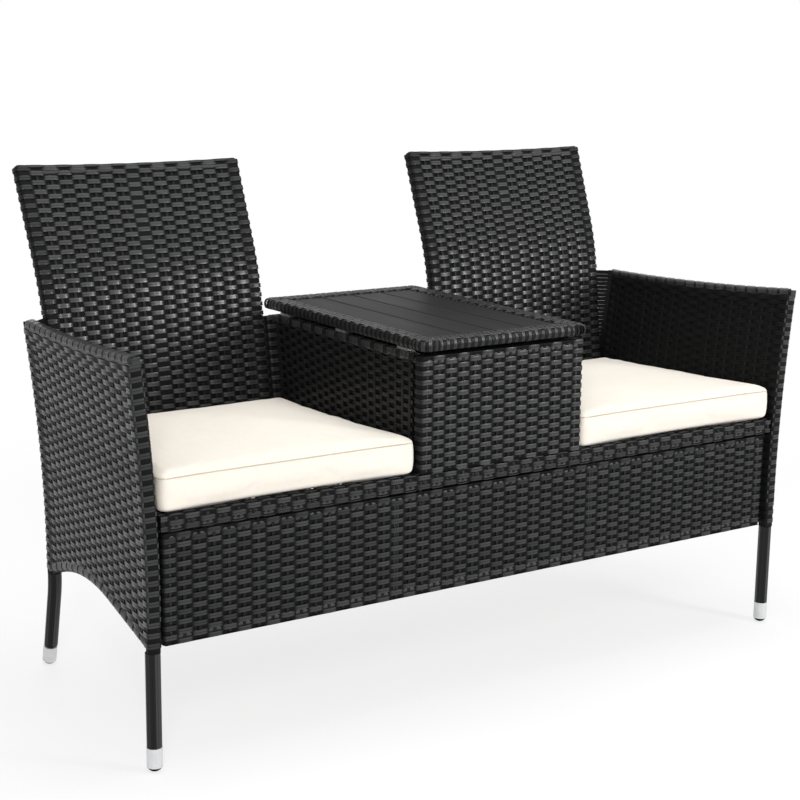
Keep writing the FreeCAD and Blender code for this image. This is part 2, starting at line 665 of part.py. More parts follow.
for end, half, depth, bores in (("front", "seat_front_half", 0, apron_bores),
                                ("rear", "seat_rear_half", mm("seat_depth"), post_bores)):
    place = seat_place.multiply(Placement(Vector(0, depth, 0), Rotation()))
    square = ("seat_tube / 2", "seat_tube / 2")
    bore = ("seat_tube / 2 - seat_wall", "seat_tube / 2 - seat_wall")
    inside = ("seat_tube / 2 + skin_clearance", "seat_tube / 2 + skin_clearance")
    rail = hollow_bar(f"seat_{end}_rail_bar", "YZ_Plane", square, bore, f"2 * ({half} - seat_skin)")
    rail.Placement = place
    finish(cut_by(f"seat_{end}_rail", rail, bores), f"seat_{end}_rail")
    wrap = hollow_bar(f"seat_{end}_wrap_bar", "YZ_Plane", (band_half, band_half), inside, f"2 * {half}")
    outer_edge = mm(band_half)
    round_edges(wrap, "seat_corner",
                lambda edge: along_axis(edge, across) and abs(abs(edge.Vertexes[0].Y) - outer_edge) < 1e-6)
    wrap.Placement = place
    finish(cut_by(f"seat_{end}_wrap", wrap, bores), f"seat_{end}_wrap")

square = ("seat_tube / 2", "seat_tube / 2")
bore = ("seat_tube / 2 - seat_wall", "seat_tube / 2 - seat_wall")
middle_y = mm("seat_depth / 2")
end_x = mm("(seat_front_half + seat_rear_half) / 2 - seat_tube / 2")
end_run = f"({rail_run} - 2 * butt_gap)"
for label, x, turn, length, bores in (
        ("seat_end_rail", end_x, math.degrees(math.atan(end_slope)), end_run, seat_bolt_bores),
        ("seat_cross_rail", mm(post_x), 0, rail_run, []),
        ("seat_middle_rail", (end_x + mm(post_x)) / 2, 0, rail_run, [])):
    rail = hollow_bar(f"{label}_bar", "XZ_Plane", square, bore, length)
    rail.Placement = seat_place.multiply(Placement(Vector(x, middle_y, 0), Rotation(up, turn)))
    finish_pair(cut_by(label, rail, bores) if bores else rail, label)


def deck_edge(y):
    return f"seat_front_half - (seat_front_half - seat_rear_half) * {y} / seat_depth"


deck = plate("seat_deck", "XY_Plane", [
    ("console_half + skin_clearance", deck_front), (deck_edge(deck_front), deck_front),
    (deck_edge(deck_rear), deck_rear), ("console_half + skin_clearance", deck_rear)], "seat_skin")
deck.Placement = seat_place.multiply(Placement(Vector(0, 0, mm(deck_level)), Rotation()))
finish_pair(deck, "seat_deck")

# Apron: a woven panel on a welded frame below the front seat rail
apron = woven_sleeve("apron_panel", "apron_half", f"{apron_top} - apron_low", "apron_corner")
apron_y = mm(f"apron_front + {wrap_radius}")
apron.Placement = Placement(at(0, apron_y, mm("apron_low")), Rotation())
finish(apron, "apron_panel")
apron_end = f"(apron_half - {wrap_radius})"
apron_low_z = mm(f"apron_low + {tube_radius} + apron_end_gap")
runs = []
for z in (apron_low_z, mm(apron_tube_z)):
    runs.append((at(-mm(apron_end), apron_y, z), across, f"2 * {apron_end}", tube_radius, tube_bore))
for x in (-mm(apron_end), -mm(apron_end) / 3, mm(apron_end) / 3, mm(apron_end)):
    runs.append((at(x, apron_y, apron_low_z), up, f"{apron_tube_z} - apron_low - {tube_radius} - apron_end_gap",
                 tube_radius, tube_bore))
finish(cut_by("apron_frame", welded_tubes("apron_tubes", runs), apron_bores), "apron_frame")

# Backs: a mitred hoop with a lower rail and a middle tube under one woven skin
bend_y = mm("back_bend_y") + plane_y
top_y = mm("back_top_y") + plane_y
bend_radius = mm("back_bend_radius")


def back_line(foot_x, top_x):
    # The post in space: depth and height bend, the spread grows evenly with height.
    def lift(y, z):
        return Vector(blend(foot_x, top_x, (z - back_foot.z) / (mm("back_top_z") - back_foot.z)), y, z)
    flat = ((back_foot.y, back_foot.z), (bend_y, mm("back_bend_z")), (top_y, mm("back_top_z")))
    return lift, flat


outer_lift, profile = back_line(mm("back_outer_foot"), mm("back_outer_top"))
inner_lift, profile = back_line(mm("back_inner_foot"), mm("back_inner_top"))
outer_points = [outer_lift(y, z) for y, z in profile]
inner_points = [inner_lift(y, z) for y, z in profile]
hoop = outer_points + inner_points[::-1]
hoop_radii = [bend_radius, 0, 0, bend_radius]
back_hoop = rounded_path(hoop, hoop_radii)
plugs = [(outer_points[1] - outer_points[0]).normalize() * mm("plug_depth"),
         (inner_points[1] - inner_points[0]).normalize() * mm("plug_depth")]
bore_points = [hoop[0] + plugs[0]] + hoop[1:-1] + [hoop[-1] + plugs[1]]
back_bore = rounded_path(bore_points, hoop_radii)
lower_share = mm(f"{wrap_radius} + seat_play") / back_rise
lower_rail = [blend(points[0], points[1], lower_share) for points in (outer_points, inner_points)]
middle_points = [blend(a, b, 0.5) for a, b in zip(outer_points, inner_points)]
middle_points[0] = blend(lower_rail[0], lower_rail[1], 0.5)
middle_path = rounded_path(middle_points, [bend_radius])
lower_path = Part.Wire(Part.LineSegment(*lower_rail).toShape())
back_frame = pipe(back_hoop, mm(tube_radius)).fuse([
    rod(*lower_rail, mm(cross_radius)), pipe(middle_path, mm(brace_radius))])
back_bores = [pipe(back_bore, mm(tube_bore)), pipe(middle_path, mm("brace_diameter / 2 - brace_wall"))]
back_frame = back_frame.cut(back_bores)
back_frame = back_frame.cut([rod(*lower_rail, mm(cross_bore))] + post_bores)
finish_pair(solid_tool("back_frame", back_frame), "back_frame")


def back_core(half, inset):
    # The bent sheet between the posts, from the lower rail to the top rail
    low, bend, top = (Vector(0, y, z) for y, z in profile)
    low = blend(low, bend, lower_share)
    top += (bend - top).normalize() * inset
    flat = [(point.y, point.z) for point in (low, bend, top)]
    share = inset / mm("back_outer_foot - back_inner_foot")
    sections = [strip(flat, bend_radius, half, lambda y, z: blend(outer_lift(y, z), inner_lift(y, z), part))
                for part in (share, 1 - share)]
    return Part.makeLoft(sections, True, True)


back_skin = join([
    square_pipe(back_hoop, mm(wrap_radius), mm("back_edge_round"), Vector(0, -1, 0)),
    back_core(mm("panel_thickness") / 2, mm("sheet_inset")),
    rod(*lower_rail, mm(cross_wrap)),
])
back_hollow = [back_core(mm("panel_thickness / 2 - strand_skin"), mm("hollow_inset"))]
back_hollow += [pipe(back_hoop, mm(tube_hole)), rod(*lower_rail, mm(cross_hole))]
finish_pair(solid_tool("back_panel", carve(back_skin, back_hollow)), "back_panel")

# Console: woven panels round a welded frame between the two seats
console_low = f"(seat_front_z + {band_half} + console_seat_gap)"
front_axis_y = mm(f"console_front + {wrap_radius}")
post_top_z = mm(f"console_top - {wrap_radius}")
side_x = "(console_half - panel_thickness / 2)"
rear_low = back_foot.z
rear_height = (mm("console_top - console_seat_gap") - rear_low) / math.cos(back_lean) - mm(
    wrap_radius) * math.tan(back_lean)
rear_post_run = (post_top_z - rear_low) / math.cos(back_lean)
rear_post_top = back_post_foot(mm(rear_post_x)) + post_axis * rear_post_run
front_post_low = at(mm(post_x), front_axis_y, mm(console_low))
front_post_top = at(mm(post_x), front_axis_y, post_top_z)
side_rail = (front_post_top + across * (mm(side_x) - mm(post_x)),
             rear_post_top + across * (mm(side_x) - mm(rear_post_x)))
half_frame = [
    (front_post_low, front_post_top, tube_radius, tube_bore, "plug_depth"),
    (back_post_foot(mm(rear_post_x)), rear_post_top, tube_radius, tube_bore, "plug_depth"),
    (*side_rail, brace_radius, "(brace_diameter / 2 - brace_wall)", "0"),
]
frame_runs = half_frame + [(mirrored(Part.Vertex(a)).Point, mirrored(Part.Vertex(b)).Point, outside, inside, plug)
                           for a, b, outside, inside, plug in half_frame]
frame_runs += [(point, Vector(-point.x, point.y, point.z), tube_radius, tube_bore, "0")
               for point in (front_post_top, rear_post_top)]
walls = [rod(a, b, mm(outside)) for a, b, outside, inside, plug in frame_runs]
hollows = [rod(a + (b - a).normalize() * mm(plug), b, mm(inside)) for a, b, outside, inside, plug in frame_runs]
console_frame = walls[0].fuse(walls[1:]).cut(hollows + apron_bores + post_bores)
finish(solid_tool("console_frame", console_frame), "console_frame")
rail_holes = [rod(*side_rail, mm(brace_hole))]
rail_holes += [mirrored(hole) for hole in rail_holes]
front_panel = woven_sleeve("console_front_sleeve", "console_half", f"console_top - {console_low}", "console_corner")
front_panel.Placement = Placement(at(0, front_axis_y, mm(console_low)), Rotation())
finish(cut_by("console_front_panel", front_panel, rail_holes), "console_front_panel")
rear_panel = woven_sleeve("console_rear_sleeve", "console_rear_half", f"{rear_height:.4f}", "console_corner")
rear_panel.Placement = Placement(Vector(0, back_foot.y, rear_low), Rotation(up, post_axis))
finish(cut_by("console_rear_panel", rear_panel, rail_holes), "console_rear_panel")


def console_side(half, inset, low):
    # A side sheet between the front and rear panels, following the leaning rear posts
    front_y = front_axis_y + mm(wrap_radius) + mm("skin_clearance") + inset
    top = mm("console_top") - inset
    corners = []
    for z in (top, None):
        if z is None:
            z = seat_axis_z(mm("rear_leg_y")) + mm(band_half) + mm("console_seat_gap") + low
        behind = back_foot.y - plane_y + (z - rear_low) * math.tan(back_lean)
        corners.append((behind - (mm(wrap_radius) + mm("skin_clearance")) / math.cos(back_lean) - inset, z))
    (top_y, top_z), (low_y, low_z) = corners
    front_low_z = seat_axis_z(front_y) + mm(band_half) + mm("console_seat_gap") + low
    outline = [at(0, front_y, front_low_z), at(0, front_y, top_z), at(0, top_y, top_z), at(0, low_y, low_z)]
    face = Part.Face(Part.makePolygon(outline + outline[:1]))
    face.translate(across * (mm(side_x) - half))
    return face.extrude(across * (2 * half))


side_panel = console_side(mm("panel_thickness") / 2, 0, 0).cut([
    console_side(mm("panel_thickness / 2 - strand_skin"), mm("strand_skin"), -mm("seat_tube")),
    rail_holes[0]])
finish_pair(solid_tool("console_side_panel", side_panel), "console_side_panel")

# Table top: a woven rim and slats on steel straps that lie across the console
table_front_y = -mm("rim_reach")
table_middle = at(0, table_front_y + mm("table_depth / 2"), 0)
opening_half = "(table_half - rim_width)"
opening_depth = "(table_depth / 2 - rim_width)"
slat_width = f"((2 * {opening_half} - {slat_count + 1} * slat_gap) / {slat_count})"
strap_y = [-mm("table_depth / 2 - strap_inset"), 0, mm("table_depth / 2 - strap_inset")]
slat_x = [-mm(opening_half) + mm("slat_gap") + mm(slat_width) / 2 + index * mm(f"{slat_width} + slat_gap")
          for index in range(slat_count)]
rim_screw_x = mm(f"{opening_half} + rim_screw_inset")
screw_x = [-rim_screw_x] + slat_x + [rim_screw_x]
screws = []
screw_bores = []
for y in strap_y:
    for x in screw_x:
        start = table_middle + Vector(x, y, mm(strap_level))
        length = mm("strap_thickness + screw_bite")
        screws.append(bolt(start, up, length, "screw_diameter", "screw_head_diameter", "screw_head_height"))
        screw_bores.append(bolt_bore(start, up, length + mm("bolt_play"), screw_hole))

rim = doc.addObject("PartDesign::Body", "table_rim_ring")
rim_sketch = sketch_on(rim, "XY_Plane")
add_outline(rim_sketch, rectangle("table_half", "table_depth / 2"))
add_outline(rim_sketch, rectangle(opening_half, opening_depth))
pad(rim, rim_sketch, "rim_height")
rim_top = mm("rim_height")
outer_x = mm("table_half")
outer_y = mm("table_depth / 2")
round_edges(rim, "rim_corner",
            lambda edge: along_axis(edge, up) and abs(abs(edge.Vertexes[0].X) - outer_x) < 1e-6)


def on_rim_top(edge, outside):
    if any(abs(vertex.Z - rim_top) > 1e-6 for vertex in edge.Vertexes):
        return False
    box = edge.BoundBox
    reach = max(abs(box.XMin), abs(box.XMax)) > outer_x - mm("rim_width / 2")
    reach = reach or max(abs(box.YMin), abs(box.YMax)) > outer_y - mm("rim_width / 2")
    return reach == outside


round_edges(rim, "rim_round", lambda edge: on_rim_top(edge, True))
round_edges(rim, "rim_inner_round", lambda edge: on_rim_top(edge, False))
rim.Placement = Placement(table_middle + up * mm(table_level), Rotation())
finish(cut_by("table_rim", rim, screw_bores), "table_rim")

for index, x in enumerate(slat_x, 1):
    slat = plate(f"table_slat_{index}_plank", "XY_Plane",
                 rectangle(f"{slat_width} / 2", f"{opening_depth} - slat_gap"), "slat_thickness")
    round_edges(slat, "slat_edge",
                lambda edge: all(abs(vertex.Z - mm("slat_thickness")) < 1e-6 for vertex in edge.Vertexes))
    slat.Placement = Placement(table_middle + Vector(x, 0, mm(table_level)), Rotation())
    finish(cut_by(f"table_slat_{index}", slat, screw_bores), f"table_slat_{index}")

straps = []
for index, y in enumerate(strap_y, 1):
    strap = plate(f"table_strap_{index}", "XY_Plane",
                  rectangle("console_half - console_corner", "strap_width / 2"), "strap_thickness")
    strap.Placement = Placement(table_middle + Vector(0, y, mm(strap_level)), Rotation())
    straps.append(strap)
strap_group = doc.addObject("Part::Compound", "table_strap_group")
strap_group.Links = straps
finish(cut_by("table_straps", strap_group, screw_bores), "table_straps")

# Fasteners
for label, half_set in (("seat_bolts", seat_bolts), ("post_bolts", post_bolts)):
    both = half_set + [mirrored(item) for item in half_set]
    finish(solid_tool(label, Part.makeCompound(both)), label)
finish(solid_tool("apron_bolts", Part.makeCompound(apron_bolts + [mirrored(item) for item in apron_bolts])),
       "apron_bolts")
finish(solid_tool("table_screws", Part.makeCompound(screws)), "table_screws")

# Cushions: crowned pads with drawn-in sides, loose on the decks
cushion_inner = mm("console_half + cushion_gap")
cushion_front = mm("cushion_front") - mm("seat_front_y")
back_face = back_foot.y - plane_y - mm("seat_front_y") - mm(wrap_radius)
cushion_rear = back_face - mm("cushion_back_gap")


def cushion_outer(y):
    # The arm's inner face toes in towards the rear.
    share = (y + mm("seat_front_y")) / mm("rear_leg_y")
    return blend(mm("front_leg_x"), mm("rear_leg_x"), share) - mm(wrap_radius) - mm("cushion_arm_gap")


def cushion_section(inset, z):
    corners = [Vector(cushion_inner + inset, cushion_front + inset, z),
               Vector(cushion_outer(cushion_front) - inset, cushion_front + inset, z),
               Vector(cushion_outer(cushion_rear) - inset, cushion_rear - inset, z),
               Vector(cushion_inner + inset, cushion_rear - inset, z)]
    middle = (corners[0] + corners[1] + corners[2] + corners[3]) / 4
    corner = mm("cushion_corner")
    edges = []
    for index, point in enumerate(corners):
        before = corners[index - 1]
        after = corners[(index + 1) % len(corners)]
        start = point + (before - point).normalize() * corner
        end = point + (after - point).normalize() * corner
        bulge = (start + end) / 2 + (point - (start + end) / 2) * 0.58
        edges.append(Part.Arc(start, bulge, end).toShape())
        far = after + (point - after).normalize() * corner
        half_way = (end + far) / 2
        edges.append(Part.Arc(end, half_way + (middle - half_way).normalize() * mm("cushion_draw"), far).toShape())
    return Part.Wire(edges)


side = mm("cushion_side")
crown = mm("cushion_crown")
levels = ((0.26, 0), (0.06, 0.16), (0, 0.45), (0.04, 0.8), (0.2, 1))
sections = [cushion_section(share * mm("cushion_corner"), height * side) for share, height in levels]
crown_levels = ((0.9, 0.4), (2.2, 0.75), (4.2, 1))
sections += [cushion_section(share * mm("cushion_corner"), side + height * crown) for share, height in crown_levels]
cushion = solid_tool("cushion", Part.makeLoft(sections, True, True))
lift = mm(f"{deck_level} + seat_skin + seat_play + skin_clearance")
cushion.Placement = seat_place.multiply(Placement(Vector(0, 0, lift), Rotation()))
finish_pair(cushion, "cushion")

doc.recompute()
for item in doc.Objects:
    if "Invalid" in item.State or "Error" in item.State:
        raise RuntimeError(f"{item.Label} failed: {item.State}")
os.makedirs("parts", exist_ok=True)
for node in nodes:
    if node.Shape.isNull() or not node.Shape.isValid():
        raise RuntimeError(f"{node.Label} has no valid shape")
for node in nodes:
    node.Shape.exportStep(f"parts/{node.Label}.step")
print(len(nodes), "sub-parts written")
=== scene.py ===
import json
import math
import bpy
import numpy as np
from mathutils import Matrix, Vector
from mathutils.bvhtree import BVHTree


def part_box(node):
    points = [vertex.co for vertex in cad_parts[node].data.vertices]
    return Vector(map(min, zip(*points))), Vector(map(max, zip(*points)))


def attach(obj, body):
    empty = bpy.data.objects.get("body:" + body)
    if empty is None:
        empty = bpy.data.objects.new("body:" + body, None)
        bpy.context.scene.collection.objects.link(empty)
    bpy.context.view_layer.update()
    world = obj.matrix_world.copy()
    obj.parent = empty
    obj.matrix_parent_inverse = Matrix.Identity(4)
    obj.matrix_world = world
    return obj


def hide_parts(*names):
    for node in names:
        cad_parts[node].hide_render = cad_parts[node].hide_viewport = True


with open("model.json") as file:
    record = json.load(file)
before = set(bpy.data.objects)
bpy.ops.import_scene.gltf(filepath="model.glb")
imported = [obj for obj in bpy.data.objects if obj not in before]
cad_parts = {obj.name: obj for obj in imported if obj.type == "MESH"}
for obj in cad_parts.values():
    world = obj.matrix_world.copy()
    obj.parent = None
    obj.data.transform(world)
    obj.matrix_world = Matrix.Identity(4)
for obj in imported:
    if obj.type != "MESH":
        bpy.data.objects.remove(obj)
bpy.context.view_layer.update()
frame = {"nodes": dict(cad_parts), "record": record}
nodes = frame["nodes"]
frontLegY = -273.0  # the front legs' plane in the frame, mm
vertical = np.array([0.0, 0.0, 1.0])
print("frame loaded:", len(nodes), "nodes")


# shader maths

class Wire:  # a node's socket that takes part in sums
    def __init__(self, graph, socket):
        self.graph, self.socket = graph, socket

    def calc(self, kind, first, second):
        return self.graph.node("ShaderNodeMath", {"operation": kind}, {0: first, 1: second})

    def __add__(self, other):
        return self.calc("ADD", self, other)

    def __radd__(self, other):
        return self.calc("ADD", other, self)

    def __sub__(self, other):
        return self.calc("SUBTRACT", self, other)

    def __rsub__(self, other):
        return self.calc("SUBTRACT", other, self)

    def __mul__(self, other):
        return self.calc("MULTIPLY", self, other)


class Graph:  # the nodes of a material or of the world
    def __init__(self, owner):
        owner.use_nodes = True
        self.tree = owner.node_tree

    def node(self, kind, settings=None, inputs=None, out=0):
        made = self.tree.nodes.new(kind)
        for key, value in (settings or {}).items():
            if key == "stops":
                for stop, (place, colour) in zip(made.color_ramp.elements, value):
                    stop.position, stop.color = place, (*colour, 1)
            else:
                setattr(made, key, value)
        for key, value in (inputs or {}).items():
            self.feed(made.inputs[key], value)
        return Wire(self, made.outputs[out])

    def feed(self, socket, value):
        if isinstance(value, Wire):
            self.tree.links.new(value.socket, socket)
        else:
            socket.default_value = value

    def ray(self, kind):  # 1 for rays of this kind
        return self.node("ShaderNodeLightPath", out=f"Is {kind} Ray")


class Finish(Graph):  # one material
    def __init__(self, name, plain):
        self.material = bpy.data.materials.new(name)
        super().__init__(self.material)
        self.shader = self.tree.nodes["Principled BSDF"]
        for key, value in plain.items():  # values that are the same all over
            self.shader.inputs[key].default_value = value

    def shade(self, **inputs):  # Base_Color and so on, with _ for the space
        for key, value in inputs.items():
            self.feed(self.shader.inputs[key.replace("_", " ")], value)
        return self.material

    def noise(self, scale, detail=3.0, rough=0.55, stretch=(1, 1, 1)):
        spot = self.node("ShaderNodeTexCoord", out="Object")
        place = self.node("ShaderNodeMapping", inputs={"Vector": spot, "Scale": stretch})
        return self.node("ShaderNodeTexNoise", inputs={
            "Vector": place, "Scale": scale, "Detail": detail, "Roughness": rough})

    def fade(self, value, low, high, start=0.0):  # a smooth step from start to 1
        return self.node("ShaderNodeMapRange", {"interpolation_type": "SMOOTHSTEP"}, {
            "Value": value, "From Min": low, "From Max": high, "To Min": start})

    def bump(self, height, strength, distance):
        return self.node("ShaderNodeBump", inputs={
            "Height": height, "Strength": strength, "Distance": distance}, out="Normal")

    def ramp(self, factor, *stops):
        return self.node("ShaderNodeValToRGB", {"stops": stops}, {"Fac": factor})

    def carried(self, name):  # a number kept on the mesh
        return self.node("ShaderNodeAttribute", {"attribute_name": name}, out="Fac")


def grey(level, warm=0.0):
    return (level * (1 + warm), level, level * (1 - warm))


# finishes

def strandFinish():
    spec = {"dark": 0.0035, "light": 0.034, "roughLow": 0.26, "roughHigh": 0.42, "lines": 0.25}
    made = Finish("strand", {"Specular IOR Level": 0.1, "Coat Roughness": 0.25})
    tone = made.carried("tone")
    lane = made.carried("lane")
    # the strands' rise paints light onto the crests and shade into the recesses, and the coat goes on the crests
    # only, so the recesses reflect less
    paintedCrestLight = made.fade(made.carried("rise"), -0.3, 0.9)
    aside = made.node("ShaderNodeMath", {"operation": "ABSOLUTE"}, {0: lane - 0.5})
    grooveShadeFactor = made.fade(aside, 0.0, 0.16, 0.45)  # the groove between the ribs is painted darker, as shade
    cloud = made.noise(60)
    mix = paintedCrestLight * grooveShadeFactor * (0.5 + tone * 0.34 + cloud * 0.16)
    colour = made.ramp(mix, (0.06, grey(spec["dark"], -0.03)), (0.95, grey(spec["light"], -0.025)))
    fine = made.noise(900, 2)
    rough = spec["roughLow"] + cloud * (spec["roughHigh"] - spec["roughLow"]) + (1 - paintedCrestLight) * 0.3
    lines = made.node("ShaderNodeTexNoise", {"noise_dimensions": "1D"}, {
        "W": lane + tone * 7.0, "Scale": 26.0, "Detail": 1.0})
    return made.shade(Base_Color=colour, Roughness=rough, Coat_Weight=paintedCrestLight * grooveShadeFactor * (0.25 + tone * 0.35),
                      Normal=made.bump(lines + fine * 0.4, spec["lines"], 0.0002))


def stakeAndShadeFinish():
    # the stakes' own dark colour; this finish also colours the painted-shade sheets inside the panels
    spec = {"dark": 0.004, "light": 0.012}
    made = Finish("stake", {"Specular IOR Level": 0.14})
    cloud = made.noise(80)
    colour = made.ramp(made.carried("tone") * 0.6 + cloud * 0.4, (0.2, grey(spec["dark"], -0.02)),
                       (0.8, grey(spec["light"], -0.02)))
    return made.shade(Base_Color=colour, Roughness=0.4 + cloud * 0.2,
                      Normal=made.bump(made.noise(900, 2), 0.15, 0.0002))


def plankFinish():
    spec = {"dark": 0.005, "light": 0.014, "grain": 170}
    made = Finish("charcoal_plank", {"Specular IOR Level": 0.09})
    grain = made.noise(spec["grain"], 5, 0.65, (1.0, 0.035, 1.0))  # stretched along the plank
    broad = made.noise(26, 3, stretch=(1.0, 0.12, 1.0))
    colour = made.ramp(grain * 0.7 + broad * 0.3, (0.3, grey(spec["dark"])), (0.7, grey(spec["light"])))
    return made.shade(Base_Color=colour, Roughness=0.45 + broad * 0.2,
                      Normal=made.bump(grain, 0.25, 0.0004))


def clothFinish():
    spec = {"shade": (0.7, 0.645, 0.565), "light": (0.76, 0.71, 0.63)}
    made = Finish("ivory_cloth", {"Specular IOR Level": 0.2, "Sheen Weight": 0.2, "Sheen Roughness": 0.5})
    slub = made.noise(150, 4, stretch=(1, 0.25, 1))
    cloud = made.noise(6, 2)
    colour = made.ramp(slub * 0.4 + cloud * 0.6, (0.25, spec["shade"]), (0.6, spec["light"]))
    weft = made.noise(900, 2, stretch=(1, 0.08, 1))
    warp = made.noise(900, 2, stretch=(0.08, 1, 1))
    crease = made.noise(16, 2)
    return made.shade(Base_Color=colour, Roughness=0.78 + slub * 0.15,
                      Normal=made.bump(weft * 0.12 + warp * 0.12 + crease * 1.6, 0.25, 0.0015))


# for each: the noise that tints it, its two colours, the noise that roughens it if another, and the bump
plainFinishes = {
    "coat": {"name": "black_coat", "plain": {"Specular IOR Level": 0.5}, "tint": (9,),
             "colours": (grey(0.009), grey(0.016)), "grain": (700, 2), "rough": (0.42, 0.16),
             "bump": (0.22, 0.0003)},
    "sleeve": {"name": "silver_sleeve", "plain": {"Metallic": 0.55}, "tint": (30,),
               "colours": ((0.6, 0.605, 0.61), (0.7, 0.705, 0.71)), "grain": (700, 2, 0.55, (1, 1, 0.06)),
               "rough": (0.38, 0.14), "bump": (0.1, 0.0002)},
    "steel": {"name": "bare_steel", "plain": {"Metallic": 0.7}, "tint": (40,),
              "colours": (grey(0.3), grey(0.4)), "grain": (600, 2, 0.55, (0.05, 1, 1)),
              "rough": (0.25, 0.2), "bump": (0.12, 0.0002)},
    "bolt": {"name": "dark_steel", "plain": {"Metallic": 0.8}, "tint": (90,),
             "colours": (grey(0.02), grey(0.05)), "rough": (0.45, 0.2)},
    "rubber": {"name": "black_rubber", "plain": {"Specular IOR Level": 0.06}, "tint": (420, 3),
               "colours": (grey(0.003), grey(0.007)), "rough": (0.6, 0.2), "bump": (0.2, 0.0003)},
    "seam": {"name": "tan_thread", "plain": {"Specular IOR Level": 0.3}, "tint": (1500, 2),
             "colours": ((0.42, 0.35, 0.27), (0.52, 0.44, 0.35)), "rough": (0.7, 0.15),
             "bump": (0.3, 0.0003)}}


def plainFinish(name, plain, tint, colours, rough, grain=None, bump=None):
    made = Finish(name, plain)
    cloud = made.noise(*tint)
    fine = made.noise(*grain) if grain else cloud
    inputs = {"Base_Color": made.ramp(cloud, (0.3, colours[0]), (0.7, colours[1])),
              "Roughness": rough[0] + fine * rough[1]}
    if bump:
        inputs["Normal"] = made.bump(fine, *bump)
    return made.shade(**inputs)


finishes = {"strand": strandFinish(), "stake": stakeAndShadeFinish(), "plank": plankFinish(), "cloth": clothFinish()}
for key, spec in plainFinishes.items():
    finishes[key] = plainFinish(**spec)
print("finishes:", len(finishes))


# lines and points

def flip(points, side):  # the mirror image for the left side
    return points * np.array([side, 1.0, 1.0])


def unit(ways):
    return ways / np.linalg.norm(ways, axis=-1, keepdims=True)


def between(low, high, share):
    return low + (high - low) * share


def ease(low, high, value):
    part = np.clip((value - low) / (high - low), 0, 1)
    return part * part * (3 - 2 * part)


def runOf(line):  # the distance along a line at each of its points
    return np.concatenate([[0], np.cumsum(np.linalg.norm(np.diff(line, axis=0), axis=1))])


def pointAt(spot, run, line):
    return np.array([np.interp(spot, run, column) for column in line.T])


def bendAt(first, middle, last, part):  # a point on the bend between two straight runs
    return (1 - part) ** 2 * first + 2 * part * (1 - part) * middle + part ** 2 * last


def link(name, data):
    made = bpy.data.objects.new(name, data)
    bpy.context.scene.collection.objects.link(made)
    return made


def ringMesh(name, rings, closed=False, inward=False):
    # a skin through rings of points in mm, with both ends filled unless it runs round
    rings = np.asarray(rings) * 0.001
    count, size = rings.shape[:2]
    faces = []
    for ring in range(count if closed else count - 1):
        for spot in range(size):
            after, beside = (ring + 1) % count, (spot + 1) % size
            faces.append((ring * size + spot, ring * size + beside, after * size + beside, after * size + spot))
    if not closed:
        faces += [tuple(range(size))[::-1], tuple(range((count - 1) * size, count * size))]
    mesh = bpy.data.meshes.new(name)
    mesh.from_pydata(rings.reshape(-1, 3).tolist(), [], [face[::-1] for face in faces] if inward else faces)
    mesh.update()
    return link(name, mesh)


# strands: flat, with two ribs along the face

strandSection = np.array([(-0.5, -0.4), (-0.48, 0.3), (-0.27, 0.5), (0.0, 0.3), (0.27, 0.5), (0.48, 0.3),
                          (0.5, -0.4), (0.0, -0.5)])
weave = {"wave": 1.7, "thick": 1.5, "wide": 7.7, "edgeWave": 0.4, "stakeWave": 0.3, "stakeWide": 5.0,
         "stakeThick": 1.2, "steps": 6, "flat": 1.7}
chance = np.random.default_rng(7)


